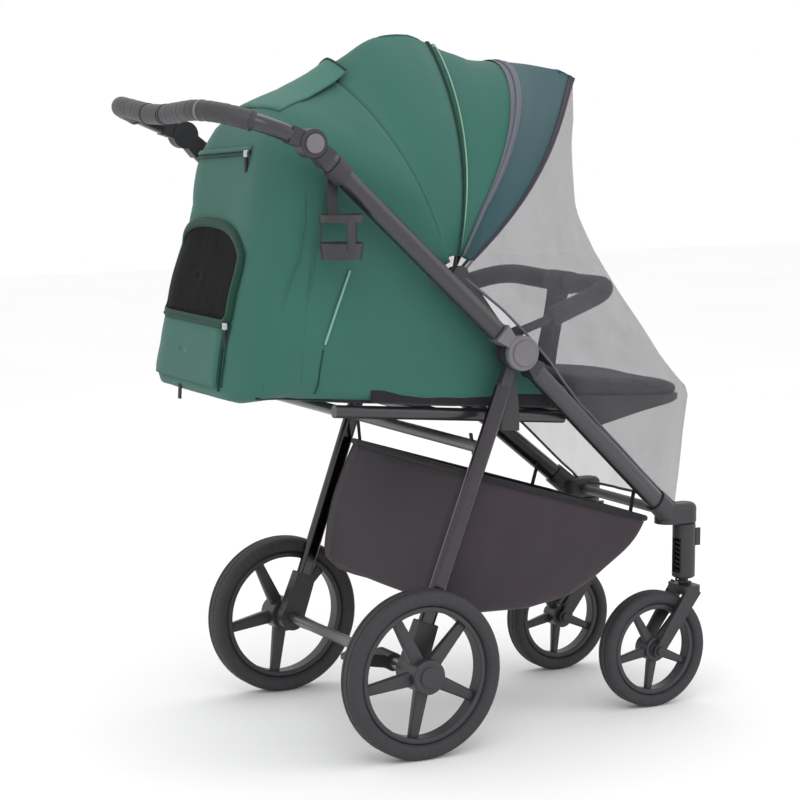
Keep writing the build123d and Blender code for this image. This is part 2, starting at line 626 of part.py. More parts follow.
def arch_face(angle, half_width, crown_radius, base=0.0, corner=None):
    """Filled arch in the plane at an angle about the canopy pivot, standing at a base radius.

    Its top is a wide ellipse; a corner size gives square shoulders instead.
    """
    up = (cos(radians(angle)), 0, sin(radians(angle)))
    plane = Plane(origin=(CANOPY_PIVOT[0], 0, CANOPY_PIVOT[1]), x_dir=(0, 1, 0),
                  z_dir=Vector(0, 1, 0).cross(Vector(*up)))
    shoulder = crown_radius - corner if corner else ARCH_SHOULDER
    reach = corner if corner else half_width - ARCH_FLAT
    flat = half_width - reach
    rise = crown_radius - shoulder
    with BuildSketch(plane) as sketch:
        with BuildLine():
            Polyline((half_width, shoulder), (half_width, base), (-half_width, base), (-half_width, shoulder))
            EllipticalCenterArc((flat, shoulder), reach, rise, arc_size=90)
            Line((flat, crown_radius), (-flat, crown_radius))
            EllipticalCenterArc((-flat, shoulder), reach, rise, start_angle=90, arc_size=90)
        make_face()
    return sketch.sketch


def swept_arch(start, end, half_width, crown_radius):
    """Solid sector of an arch turned about the canopy pivot axis."""
    axis = Axis((CANOPY_PIVOT[0], 0, CANOPY_PIVOT[1]), (0, -1, 0))
    return revolve(arch_face(start, half_width, crown_radius), axis, revolution_arc=end - start)


def eye_space():
    return disc(CANOPY_PIVOT, EYE_CLEAR, -HALF_WIDTH, HALF_WIDTH)


def shell_panel(start, end, size):
    """Fabric panel between two bows, one layer of the nested canopy."""
    half_width, crown_radius = size
    outer = swept_arch(start, end, half_width + SHELL, crown_radius + SHELL)
    inner = swept_arch(start - 5, end + 5, half_width, crown_radius)
    return outer - inner - eye_space()


def plan_block(inset):
    """Block with the cabin's rounded plan outline, whose rear leans with the wall."""
    front = FLOOR_FRONT[0] + 200
    faces = []
    for level, rear in WALL_LEVELS:
        length = front - rear - inset
        outline = RectangleRounded(length, 2 * (CABIN_HALF - inset), CABIN_CORNER_R - inset)
        faces.append(Pos(front - length / 2, 0, level) * outline)
    return loft(faces, ruled=True)


def square_to(angle):
    """Direction square to a plane through the canopy pivot, towards larger angles."""
    return -sin(radians(angle)), 0, cos(radians(angle))


def wall_face(half_width, crown_radius):
    """Arch with square shoulders where the hood meets the cabin's rear wall."""
    return arch_face(ANGLE_WALL, half_width, crown_radius - WALL_CROWN_DROP, EYE_CLEAR - SHELL, WALL_CORNER)


def rear_hood(half_width, crown_radius, start):
    """Arch sector with a round section that grows square shoulders towards the rear wall."""
    middle = arch_face(ANGLE_SQUARE, half_width, crown_radius, EYE_CLEAR - SHELL)
    shape = swept_arch(start, ANGLE_SQUARE, half_width, crown_radius)
    return shape + loft([middle, wall_face(half_width, crown_radius)], ruled=True)


def canopy_panel_rear():
    """Fixed rear part of the hood, which squares off into the cabin's rear wall."""
    half_width, crown_radius = PANEL_REAR
    outer = rear_hood(half_width + SHELL, crown_radius + SHELL, ANGLE_REAR)
    outer &= plan_block(0)
    inner = rear_hood(half_width, crown_radius, ANGLE_REAR - 5)
    inner += extrude(wall_face(half_width, crown_radius), amount=30, dir=square_to(ANGLE_WALL))
    inner &= plan_block(SHELL)
    save("canopy_panel_rear", outer - inner - eye_space())


def canopy_visor():
    """Front shade that grows from the middle bow out to the front bow."""
    half_width, crown_radius = VISOR
    faces = []
    for grow in (SHELL, 0):
        base = EYE_CLEAR - grow
        rear = arch_face(ANGLE_MID_BOW - 0.3, half_width + grow, crown_radius + grow, base)
        front = arch_face(ANGLE_FRONT_BOW, half_width + grow, VISOR_TIP_RADIUS + grow, base)
        faces.append(loft([rear, front], ruled=True))
    save("canopy_visor", faces[0] - faces[1] - eye_space())


def bow(angle, size):
    """Flat strip bow with an eye at each end, all in the plane of its angle."""
    half_width, crown_radius = size
    outer = arch_face(angle, half_width + BOW_T, crown_radius + BOW_T)
    inner = arch_face(angle, half_width, crown_radius)
    strip = extrude(outer - inner, amount=BOW_W / 2, both=True)
    for side in (-1, 1):
        low, high = sorted((side * half_width, side * (half_width + BOW_T)))
        strip += disc(CANOPY_PIVOT, BOW_EYE_R, low, high)
    return strip - disc(CANOPY_PIVOT, CANOPY_PIN_R + RUNNING, -HALF_WIDTH, HALF_WIDTH)


def canopy():
    canopy_panel_rear()
    save("canopy_panel_mid", shell_panel(ANGLE_REAR_BOW, ANGLE_REAR - 0.4, PANEL_MID))
    save("canopy_panel_front", shell_panel(ANGLE_MID_BOW, ANGLE_REAR_BOW - 0.4, PANEL_FRONT))
    canopy_visor()
    save("canopy_bow_rear", bow(ANGLE_REAR_BOW, BOW_REAR))
    save("canopy_bow_mid", bow(ANGLE_MID_BOW, BOW_MID))
    save("canopy_bow_front", bow(ANGLE_FRONT_BOW, BOW_FRONT))


# ---------------------------------------------------------------- cabin, seat and basket

def cabin_outline(inset):
    """Side outline of the cabin; inside insets stand clear of the open top."""
    rise = 40 if inset else 0
    crown = PANEL_REAR[1] + SHELL - WALL_CROWN_DROP
    wall_top = along(CANOPY_PIVOT, (cos(radians(ANGLE_WALL)), sin(radians(ANGLE_WALL))), crown)
    return [
        (FLOOR_REAR[0] + inset, FLOOR_REAR[1] + inset),
        (-420 + inset, 727),
        (-386 + inset, 849),
        (wall_top[0] + inset, wall_top[1] - 0.5 + rise),
        (CANOPY_PIVOT[0] - 2, CANOPY_PIVOT[1] - 1 + rise),
        (62, 712 + rise),
        (FLOOR_FRONT[0] + 2 * inset, 630 + rise),
        (FLOOR_FRONT[0] + 2 * inset, FLOOR_FRONT[1] + inset),
    ]


def cabin():
    """Open tub of green fabric: floor, two sides and a rounded rear wall."""
    outer = side_plate(cabin_outline(0), -CABIN_HALF, CABIN_HALF)
    outer &= plan_block(0)
    inner = side_plate(cabin_outline(SHELL), -CABIN_HALF + SHELL, CABIN_HALF - SHELL)
    inner &= plan_block(SHELL)
    save("cabin_fabric", outer - inner - eye_space())


def slab(start, end, bottom, top, half_width, corner):
    """Pad that lies along a slope from start to end, between two heights above it."""
    direction = unit(end[0] - start[0], end[1] - start[1])
    normal = (-direction[1], direction[0]) if direction[0] > 0 else (direction[1], -direction[0])
    length = hypot(end[0] - start[0], end[1] - start[1])
    plane = Plane(origin=(start[0] + normal[0] * bottom, 0, start[1] + normal[1] * bottom),
                  x_dir=(direction[0], 0, direction[1]), z_dir=(normal[0], 0, normal[1]))
    face = plane * Pos(length / 2, 0) * RectangleRounded(length, 2 * half_width, corner)
    return extrude(face, amount=top - bottom)


def seat():
    front = (216.0, floor_z(216.0))
    rear = (4.0, floor_z(4.0))
    cushion = slab(rear, front, SHELL + 1.5, 36, PAD_HALF, 30)
    save("seat_cushion", fillet(cushion.faces().sort_by(Axis.Z)[-1].edges(), 12))
    tip = (-392.0, floor_z(-392.0) + BACKREST_HINGE[1] - floor_z(BACKREST_HINGE[0]))
    save("backrest_board", slab(BACKREST_HINGE, tip, 0, 8, PAD_HALF, 40))
    start = along(BACKREST_HINGE, unit(tip[0] - BACKREST_HINGE[0], tip[1] - BACKREST_HINGE[1]), 30)
    pad = slab(start, tip, 8.3, 34, PAD_HALF, 40)
    save("backrest_cushion", fillet(pad.faces().sort_by(Axis.Z)[-1].edges(), 10))


def round_tip(half_width, front_x, corner):
    """Upright prism that rounds the leg rest's front corners in plan."""
    back_x = 150.0
    centre = Pos((front_x + back_x) / 2, 0, 450)
    return extrude(centre * RectangleRounded(front_x - back_x, 2 * half_width, corner), amount=250)


def leg_rest():
    x, z = LEG_REST_HINGE
    board = side_plate([(232, 562), (291, 522), (376, 541), (482, 560), (482, 565), (x, z + 4)],
                       -LEG_REST_HALF, LEG_REST_HALF)
    save("leg_rest_board", board & round_tip(LEG_REST_HALF, 482, 55))
    pad = side_plate([(236, z + 4.8), (485, 565.4), (486, 580), (250, 606), (236, 600)],
                     -LEG_REST_HALF - 3, LEG_REST_HALF + 3)
    save("leg_rest_cushion", pad & round_tip(LEG_REST_HALF + 3, 485.5, 58))


def bumper_path(*left_end):
    """Centre line of the bumper bar, from the points of its left end to the same on the right."""
    points = [*left_end, BUMPER_CORNER, BUMPER_MIDDLE]
    points += [(x, -y, z) for x, y, z in reversed(points[:-1])]
    bends = [BUMPER_KNEE_RADIUS] * (len(left_end) - 1)
    radii = bends + [BUMPER_CORNER_RADIUS, BUMPER_MIDDLE_RADIUS, BUMPER_CORNER_RADIUS] + bends
    return FilletPolyline(*points, radius=radii)


def bumper_arm(distance):
    """Point on the bumper's left arm, by distance from its knee."""
    knee, corner = Vector(*BUMPER_KNEE), Vector(*BUMPER_CORNER)
    point = knee + (corner - knee).normalized() * distance
    return point.X, point.Y, point.Z


def bumper():
    save("bumper_bar", swept_round(bumper_path(bumper_point(-24), BUMPER_KNEE), BUMPER_R))
    cover = swept_round(bumper_path(bumper_arm(22)), BUMPER_GRIP_R)
    cover += side_plate([(292, 766), (312, 766), (276, 614), (264, 614)], -24, 24)
    cover -= swept_round(bumper_path(bumper_arm(16)), BUMPER_R + 0.15)
    save("bumper_grip", cover)


def basket_side(inset):
    """Side outline of the basket, open along its top."""
    rise = 60 if inset else 0
    points = [
        (-20 + 1.2 * inset, 468 + rise), (388 - 1.5 * inset, 345 + rise), (331 - inset, 287 + inset),
        (275 - 0.5 * inset, 239 + inset), (216, 214 + inset), (140, 206 + inset), (30, 212 + inset),
        (-70 + inset, 234 + inset), (-84 + inset, 250),
    ]
    return side_plate(points, -HALF_WIDTH, HALF_WIDTH)


def basket_plan(inset):
    """Plan outline of the basket, narrower towards the front."""
    points = [(-100, 218), (60, 214), (420, 158), (420, -158), (60, -214), (-100, -218)]
    shrunk = [(x, y - inset if y > 0 else y + inset) for x, y in points]
    return extrude(make_face(Polyline(*[(x, y, 150) for x, y in shrunk], close=True)), amount=450)


def basket():
    outer = basket_side(0) & basket_plan(0)
    inner = basket_side(2.5) & basket_plan(2.5)
    save("basket", outer - inner)


def net_block(inset):
    """Stacked sections of the insect net, as one filled block."""
    back = -80.0
    reach = 6 if inset else 0
    levels = [z for z, _, _ in NET_SECTIONS]
    levels[0] += reach
    levels[-1] -= reach
    faces = []
    for level, (_, front, half) in zip(levels, NET_SECTIONS):
        place = Pos((front - inset + back) / 2, 0, level)
        faces.append(place * RectangleRounded(front - inset - back, 2 * (half - inset), 70 - inset))
    block = loft(faces[:2], ruled=True)
    for upper, lower in zip(faces[1:], faces[2:]):
        block += loft([upper, lower], ruled=True)
    return block


def insect_net():
    """Net that hangs from the visor over the bumper and the leg rest down to the front elbows."""
    hem = [(520, 380), (418, 392), (232, 598), (172, 632), (112, 665), (100, 735)]
    region = side_plate([(262, 1100), (300, 1112), (520, 1112), *hem], -HALF_WIDTH, HALF_WIDTH)
    save("insect_net", (net_block(0) & region) - net_block(1.5))


def main():
    os.makedirs("parts", exist_ok=True)
    rear_wheel()
    front_wheel()
    front_leg()
    hub_base()
    front_knuckle()
    front_cross_tube()
    seat_frame()
    rear_leg()
    rear_hub_arm()
    rear_housing()
    rear_axle()
    rear_cross_bar()
    brake_pedal()
    casters()
    upper_tube()
    hub_cover()
    handle_joint_lower()
    handle_joint_upper()
    handle_button()
    handle_bar()
    handle_grip()
    fold_trigger()
    cup_holder_clamp()
    save("cup_holder", cup_holder())
    canopy()
    cabin()
    seat()
    leg_rest()
    bumper()
    basket()
    insect_net()


main()
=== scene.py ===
import math
import bpy
import numpy as np
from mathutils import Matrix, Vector, noise


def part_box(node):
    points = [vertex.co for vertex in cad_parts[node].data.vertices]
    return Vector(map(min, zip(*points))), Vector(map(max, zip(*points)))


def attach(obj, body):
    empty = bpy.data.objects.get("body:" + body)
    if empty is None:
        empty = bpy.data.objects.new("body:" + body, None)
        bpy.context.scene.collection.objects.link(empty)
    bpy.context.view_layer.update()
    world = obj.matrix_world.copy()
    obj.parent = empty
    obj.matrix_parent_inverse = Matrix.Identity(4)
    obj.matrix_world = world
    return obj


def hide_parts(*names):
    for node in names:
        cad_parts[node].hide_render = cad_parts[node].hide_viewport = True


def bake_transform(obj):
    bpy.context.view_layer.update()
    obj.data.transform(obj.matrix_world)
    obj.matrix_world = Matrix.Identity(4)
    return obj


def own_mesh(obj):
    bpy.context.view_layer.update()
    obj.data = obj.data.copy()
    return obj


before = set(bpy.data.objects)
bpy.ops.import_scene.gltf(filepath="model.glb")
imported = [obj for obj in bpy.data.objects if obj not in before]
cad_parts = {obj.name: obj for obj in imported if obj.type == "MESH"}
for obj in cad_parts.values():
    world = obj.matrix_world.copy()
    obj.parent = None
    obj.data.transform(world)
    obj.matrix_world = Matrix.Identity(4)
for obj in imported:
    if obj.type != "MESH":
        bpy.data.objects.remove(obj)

scene = bpy.context.scene
scene.view_settings.view_transform = "Standard"
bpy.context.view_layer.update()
PIVOT = np.array([-0.044, 0.0, 0.810])


# ------------------------------------------------------------ materials

class Shader:
    """A node material with a Principled shader and helpers for procedural detail."""

    def __init__(self, name):
        self.mat = bpy.data.materials.new(name)
        self.mat.use_nodes = True
        self.nodes = self.mat.node_tree.nodes
        self.links = self.mat.node_tree.links
        self.bsdf = self.nodes["Principled BSDF"]
        coord = self.nodes.new("ShaderNodeTexCoord")
        self.coord = coord.outputs["Object"]

    def set(self, **values):
        for key, value in values.items():
            self.bsdf.inputs[key.replace("_", " ")].default_value = value

    def link(self, a, b):
        self.links.new(a, b)

    def mapped(self, scale=(1, 1, 1), rotation=(0, 0, 0), location=(0, 0, 0)):
        m = self.nodes.new("ShaderNodeMapping")
        m.inputs["Scale"].default_value = scale
        m.inputs["Rotation"].default_value = rotation
        m.inputs["Location"].default_value = location
        self.link(self.coord, m.inputs["Vector"])
        return m.outputs["Vector"]

    def noise(self, scale, detail=4.0, vector=None, rough=0.55):
        n = self.nodes.new("ShaderNodeTexNoise")
        n.inputs["Scale"].default_value = scale
        n.inputs["Detail"].default_value = detail
        n.inputs["Roughness"].default_value = rough
        self.link(vector or self.coord, n.inputs["Vector"])
        return n.outputs["Fac"]

    def wave(self, scale, vector=None, distortion=0.4):
        w = self.nodes.new("ShaderNodeTexWave")
        w.bands_direction = "DIAGONAL"
        w.inputs["Scale"].default_value = scale
        w.inputs["Distortion"].default_value = distortion
        w.inputs["Detail Scale"].default_value = 2.0
        self.link(vector or self.coord, w.inputs["Vector"])
        return w.outputs["Fac"]

    def math(self, op, a, b):
        m = self.nodes.new("ShaderNodeMath")
        m.operation = op
        for socket, value in zip(m.inputs, (a, b)):
            if isinstance(value, (int, float)):
                socket.default_value = value
            else:
                self.link(value, socket)
        return m.outputs[0]

    def ramp(self, fac, stops):
        r = self.nodes.new("ShaderNodeValToRGB")
        while len(r.color_ramp.elements) < len(stops):
            r.color_ramp.elements.new(0.5)
        for element, (place, colour) in zip(r.color_ramp.elements, stops):
            element.position = place
            element.color = (*colour, 1) if len(colour) == 3 else colour
        self.link(fac, r.inputs["Fac"])
        return r.outputs["Color"]

    def span(self, fac, low, high):
        m = self.nodes.new("ShaderNodeMapRange")
        m.inputs["To Min"].default_value = low
        m.inputs["To Max"].default_value = high
        self.link(fac, m.inputs["Value"])
        return m.outputs["Result"]

    def bump(self, height, strength, distance):
        b = self.nodes.new("ShaderNodeBump")
        b.inputs["Strength"].default_value = strength
        b.inputs["Distance"].default_value = distance
        self.link(height, b.inputs["Height"])
        previous = self.bsdf.inputs["Normal"].links
        if previous:
            self.link(previous[0].from_socket, b.inputs["Normal"])
        self.link(b.outputs["Normal"], self.bsdf.inputs["Normal"])

    def tint(self, fac, colour, low, high):
        """Base colour from a darker to a lighter shade; low and high are (place, factor)."""
        stops = [(place, shade(colour, factor)) for place, factor in (low, high)]
        self.link(self.ramp(fac, stops), self.bsdf.inputs["Base Color"])

    def weave(self, scale):
        a = self.wave(scale, self.mapped())
        b = self.wave(scale, self.mapped(scale=(-1, 1, 1)))
        return self.math("MULTIPLY", a, b)


def lin(r, g, b):
    """Linear colour from 0-255 screen values."""
    return tuple(((v / 255 + 0.055) / 1.055) ** 2.4 if v > 10 else v / 255 / 12.92 for v in (r, g, b))


def shade(colour, factor):
    return tuple(min(1.0, c * factor) for c in colour)


def fabric(name, colour, weave=260.0, rough=0.86, weave_bump=0.35, crease=0.25, sheen=0.12, contrast=0.12):
    s = Shader(name)
    threads = s.weave(weave)
    clouds = s.noise(5.0, 5)
    fuzz = s.noise(700.0, 2)
    tone = s.math("ADD", s.math("MULTIPLY", clouds, 0.6), s.math("MULTIPLY", threads, 0.25))
    tone = s.math("ADD", tone, s.math("MULTIPLY", fuzz, 0.15))
    s.tint(tone, colour, (0.25, 1 - contrast), (0.75, 1 + contrast))
    s.link(s.span(clouds, rough - 0.06, min(1, rough + 0.08)), s.bsdf.inputs["Roughness"])
    s.set(Sheen_Weight=sheen, Sheen_Roughness=0.5, Specular_IOR_Level=0.25)
    s.bump(s.noise(16.0, 3), crease, 0.006)
    s.bump(threads, weave_bump, 0.0006)
    return s.mat


def plastic(name, colour, rough=0.5, grain=900.0, bump=0.15, coat=0.0):
    s = Shader(name)
    wear = s.noise(22.0, 6)
    s.tint(wear, colour, (0.3, 0.9), (0.7, 1.12))
    s.link(s.span(wear, rough - 0.08, rough + 0.1), s.bsdf.inputs["Roughness"])
    s.set(Coat_Weight=coat, Coat_Roughness=0.2)
    s.bump(s.noise(grain, 2), bump, 0.0004)
    return s.mat


def metal(name, colour, rough=0.3, metallic=0.6, coat=0.3, streak=(30, 30, 30)):
    s = Shader(name)
    brush = s.noise(14.0, 6, s.mapped(scale=streak))
    flakes = s.noise(1800.0, 1)
    tone = s.math("ADD", s.math("MULTIPLY", brush, 0.7), s.math("MULTIPLY", flakes, 0.3))
    s.tint(tone, colour, (0.3, 0.9), (0.7, 1.15))
    s.link(s.span(brush, rough - 0.05, rough + 0.1), s.bsdf.inputs["Roughness"])
    s.set(Metallic=metallic, Coat_Weight=coat, Coat_Roughness=0.15)
    s.bump(flakes, 0.05, 0.0002)
    return s.mat


def leather(name, colour):
    s = Shader(name)
    v = s.nodes.new("ShaderNodeTexVoronoi")
    v.inputs["Scale"].default_value = 420.0
    s.link(s.coord, v.inputs["Vector"])
    cells = v.outputs["Distance"]
    wear = s.noise(18.0, 4)
    tone = s.math("ADD", s.math("MULTIPLY", wear, 0.7), s.math("MULTIPLY", cells, 0.4))
    s.tint(tone, colour, (0.3, 0.85), (0.75, 1.2))
    s.link(s.span(wear, 0.42, 0.6), s.bsdf.inputs["Roughness"])
    s.bump(cells, 0.35, 0.0006)
    return s.mat


def tyre_rubber(name, colour, centre, blocks):
    s = Shader(name)
    parts = s.nodes.new("ShaderNodeSeparateXYZ")
    s.link(s.mapped(location=[-c for c in centre]), parts.inputs["Vector"])
    turn = s.math("ARCTAN2", parts.outputs["Z"], parts.outputs["X"])
    lean = s.math("MULTIPLY", parts.outputs["Y"], 90.0)
    tread = s.math("SINE", s.math("ADD", s.math("MULTIPLY", turn, blocks), lean), 0.0)
    dust = s.noise(40.0, 5)
    s.tint(dust, colour, (0.3, 0.85), (0.75, 1.2))
    s.link(s.span(dust, 0.62, 0.85), s.bsdf.inputs["Roughness"])
    s.bump(tread, 0.3, 0.0008)
    s.bump(s.noise(900.0, 2), 0.2, 0.0003)
    return s.mat


def mesh_cloth(name, colour, alpha, grid=330.0, low=0.55, high=1.25, rough=0.8):
    """Open net: strands show, holes let light through."""
    s = Shader(name)
    strands = s.math("MAXIMUM", s.wave(grid, s.mapped(), 0.1), s.wave(grid, s.mapped(scale=(-1, 1, 1)), 0.1))
    folds = s.noise(5.0, 3, s.mapped(scale=(3.2, 3.2, 0.7)))
    cover = s.math("MULTIPLY", s.span(strands, low, high), s.span(folds, alpha * 0.72, alpha * 1.28))
    s.link(cover, s.bsdf.inputs["Alpha"])
    s.tint(folds, colour, (0.3, 0.86), (0.7, 1.08))
    s.set(Roughness=rough, Specular_IOR_Level=0.15)
    s.bump(folds, 0.4, 0.01)
    s.bump(strands, 0.3, 0.0005)
    return s.mat


GREEN = lin(53, 101, 90)
M = {
    "green": fabric("green_fabric", GREEN, weave=240, contrast=0.10),
    "green_dark": fabric("green_binding", lin(16, 60, 47), weave=300, contrast=0.12),
    # lighter copy of the canopy green: painted highlight on the vent flap's lit top
    "flap": fabric("green_flap_painted_highlight", lin(66, 114, 101), weave=240, contrast=0.08),
    "teal": fabric("teal_mesh_fabric", lin(55, 84, 90), weave=200, weave_bump=0.6, contrast=0.22),
    "trim": fabric("trim_tape", lin(98, 94, 108), weave=340, contrast=0.12),
    "edge": fabric("visor_edge_tape", lin(58, 54, 64), weave=340, contrast=0.12),
    "zip": fabric("zip_tape", lin(100, 104, 112), weave=420, contrast=0.15),
    "window": mesh_cloth("window_mesh", lin(17, 15, 18), 1.0, grid=300, low=0.9, high=1.1),
    "basket": fabric("basket_fabric", lin(57, 50, 56), weave=230, contrast=0.12, crease=0.15),
    "dark": fabric("dark_binding", lin(34, 31, 35), weave=320, contrast=0.2),
    "pad": fabric("grey_padding", lin(62, 58, 67), weave=200, contrast=0.14),
    "net": mesh_cloth("insect_net_cloth", lin(108, 108, 113), 0.215),
    "piping": plastic("reflective_piping", lin(118, 158, 138), rough=0.35, bump=0.1),
    "frame": metal("gloss_black_tube", lin(42, 40, 44), rough=0.3, metallic=0.25, coat=0.6),
    "rear": metal("dark_chrome_tube", lin(62, 58, 62), rough=0.16, metallic=1.0, coat=0.5, streak=(4, 4, 40)),
    "axle": metal("axle_steel", lin(120, 118, 120), rough=0.35, metallic=0.9),
    "spring": metal("spring_steel", lin(110, 109, 112), rough=0.32, metallic=0.9),
    "black": plastic("black_moulding", lin(45, 43, 46), rough=0.46),
    "grey": plastic("grey_moulding", lin(104, 101, 107), rough=0.38, coat=0.2),
    "lower_grey": plastic("silver_moulding", lin(92, 90, 94), rough=0.4, coat=0.1),
    "rim": plastic("wheel_moulding", lin(49, 47, 51), rough=0.42),
    "leather": leather("grip_leather", lin(54, 52, 56)),
    "stitch": plastic("thread", lin(120, 118, 122), rough=0.8, bump=0.3),
    "zip_metal": metal("zip_slider_metal", lin(180, 182, 186), rough=0.25, metallic=1.0),
    "bow": plastic("bow_moulding", lin(44, 44, 48), rough=0.55),
}
CAD_LOOKS = {
    "frame": ["front_leg", "upper_tube", "seat_frame", "handle_bar"],
    "rear": ["rear_leg"],
    "axle": ["rear_axle"],
    "spring": ["fork_spring"],
    "black": ["hub_base", "caster_housing", "fork", "rear_housings", "rear_hub_arms", "handle_joint",
              "cup_holder", "brake_pedal", "bumper_bar", "backrest_board", "leg_rest_board", "swivel_lock",
              "fold_trigger", "front_knuckle"],
    "lower_grey": ["rear_cross_bar", "front_cross_tube"],
    "grey": ["hub_covers", "handle_button"],
    "rim": ["front_rim", "rear_rim"],
}


def paint(obj, key):
    obj.data.materials.clear()
    obj.data.materials.append(M[key] if isinstance(key, str) else key)


for look, starts in CAD_LOOKS.items():
    for node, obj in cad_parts.items():
        if any(node == s or node.startswith(s + "_") for s in starts):
            paint(obj, look)
for side in ("left", "right"):
    for end, blocks in (("rear", 64), ("front", 48)):
        low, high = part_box(f"{end}_tyre_{side}")
        rubber = tyre_rubber(f"{end}_tyre_rubber_{side}", lin(50, 48, 51), (low + high) / 2, blocks)
        paint(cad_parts[f"{end}_tyre_{side}"], rubber)
for node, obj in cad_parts.items():
    obj.data.polygons.foreach_set("use_smooth", [True] * len(obj.data.polygons))
    bpy.context.view_layer.objects.active = obj
    obj.data.set_sharp_from_angle(angle=math.radians(32))


# ------------------------------------------------------------ geometry helpers

def add_mesh(name, verts, faces, material, smooth=True):
    mesh = bpy.data.meshes.new(name)
    mesh.from_pydata([tuple(map(float, v)) for v in verts], [], [tuple(map(int, f)) for f in faces])
    mesh.validate()
    mesh.update()
    obj = bpy.data.objects.new(name, mesh)
    scene.collection.objects.link(obj)
    mesh.polygons.foreach_set("use_smooth", [smooth] * len(mesh.polygons))
    paint(obj, material)
    return obj


def grid_normals(grid, centre, loop=False):
    du = np.gradient(grid, axis=0)
    dv = np.gradient(grid, axis=1)
    if loop:
        dv = np.roll(grid, -1, 1) - np.roll(grid, 1, 1)
    n = np.cross(du, dv)
    n /= np.maximum(np.linalg.norm(n, axis=2, keepdims=True), 1e-9)
    out = grid - np.asarray(centre)
    if (n * out).sum() < 0:
        n = -n
    return n


def sheet_grid(name, grid, thickness, material, centre, loop=False):
    """Closed thin sheet from a grid of points; thickness goes inward."""
    normals = grid_normals(grid, centre, loop)
    inner = grid - normals * thickness
    nu, nv = grid.shape[:2]
    verts = np.concatenate([grid.reshape(-1, 3), inner.reshape(-1, 3)])
    half = nu * nv
    faces = []
    last = nv if loop else nv - 1
    for i in range(nu - 1):
        for j in range(last):
            a, b = i * nv + j, i * nv + (j + 1) % nv
            c, d = b + nv, a + nv
            faces.append((a, b, c, d))
            faces.append((d + half, c + half, b + half, a + half))
    for j in range(last):
        k = (j + 1) % nv
        faces.append((k, j, j + half, k + half))
        top = (nu - 1) * nv
        faces.append((top + j, top + k, top + k + half, top + j + half))
    if not loop:
        for i in range(nu - 1):
            a, b = i * nv, (i + 1) * nv
            faces.append((a, b, b + half, a + half))
            a, b = i * nv + nv - 1, (i + 1) * nv + nv - 1
            faces.append((b, a, a + half, b + half))
    return add_mesh(name, verts, faces, material)


def resample(points, count):
    p = np.asarray(points, float)
    d = np.concatenate([[0], np.cumsum(np.linalg.norm(np.diff(p, axis=0), axis=1))])
    t = np.linspace(0, d[-1], count)
    return np.stack([np.interp(t, d, p[:, k]) for k in range(3)], 1)


def rounded(points, radii, steps=10):
    """Polyline with filleted corners."""
    p = [np.asarray(q, float) for q in points]
    out = [p[0]]
    for a, b, c, r in zip(p, p[1:], p[2:], radii):
        u = (a - b) / np.linalg.norm(a - b)
        w = (c - b) / np.linalg.norm(c - b)
        angle = math.acos(max(-1, min(1, float(u @ w))))
        reach = r / math.tan(angle / 2)
        start, end = b + u * reach, b + w * reach
        bis = (u + w) / np.linalg.norm(u + w)
        centre = b + bis * (r / math.sin(angle / 2))
        e0, e1 = start - centre, end - centre
        sweep = math.acos(max(-1, min(1, float(e0 @ e1) / r / r)))
        for k in range(steps + 1):
            t = k / steps
            out.append(centre + (e0 * math.sin((1 - t) * sweep) + e1 * math.sin(t * sweep)) / math.sin(sweep))
    out.append(p[-1])
    return np.array(out)


def tube(name, points, radius, material, sides=12, loop=False, flat=None, up=None):
    """Round or flattened tube along points; radius may vary along it."""
    p = np.asarray(points, float)
    n = len(p)
    r = np.broadcast_to(np.asarray(radius, float), (n,))
    if loop:
        tangent = np.roll(p, -1, 0) - np.roll(p, 1, 0)
    else:
        tangent = np.gradient(p, axis=0)
    tangent /= np.linalg.norm(tangent, axis=1, keepdims=True)
    if up is None:
        guide = np.array([0.0, 0.0, 1.0]) if abs(tangent[:, 2]).mean() < 0.8 else np.array([1.0, 0.0, 0.0])
        up = np.broadcast_to(guide, p.shape)
    side = np.cross(tangent, up)
    side /= np.maximum(np.linalg.norm(side, axis=1, keepdims=True), 1e-9)
    over = np.cross(side, tangent)
    squeeze = flat or 1.0
    rings = []
    for k in range(sides):
        a = 2 * math.pi * k / sides
        rings.append(p + side * (r * math.cos(a))[:, None] + over * (r * squeeze * math.sin(a))[:, None])
    verts = np.stack(rings, 1).reshape(-1, 3)
    faces = []
    for i in range(n if loop else n - 1):
        for k in range(sides):
            a, b = i * sides + k, i * sides + (k + 1) % sides
            c, d = ((i + 1) % n) * sides + (k + 1) % sides, ((i + 1) % n) * sides + k
            faces.append((a, b, c, d))
    if not loop:
        faces.append(tuple(range(sides - 1, -1, -1)))
        faces.append(tuple((n - 1) * sides + k for k in range(sides)))
    return add_mesh(name, verts, faces, material)


def box_piece(name, centre, size, material, rotation=0.0, bevel=0.001):
    """Small bevelled block, turned about the Y axis."""
    x, y, z = (v / 2 for v in size)
    c, s = math.cos(rotation), math.sin(rotation)
    verts = []
    for sx in (-x, x):
        for sy in (-y, y):
            for sz in (-z, z):
                verts.append((centre[0] + sx * c + sz * s, centre[1] + sy, centre[2] - sx * s + sz * c))
    faces = [(0, 1, 3, 2), (4, 6, 7, 5), (0, 4, 5, 1), (2, 3, 7, 6), (0, 2, 6, 4), (1, 5, 7, 3)]
    obj = add_mesh(name, verts, faces, material, smooth=False)
    mod = obj.modifiers.new("bevel", "BEVEL")
    mod.width = bevel
    mod.segments = 2
    return obj


# ------------------------------------------------------------ hood and cabin shape

FLOOR_SLOPE = .0869
FLOOR_DEPTH = .2272
WALL_END, WALL_END_RADIUS, FLOOR_EASE = 206, .4347, 6
FLARE_REACH = .12

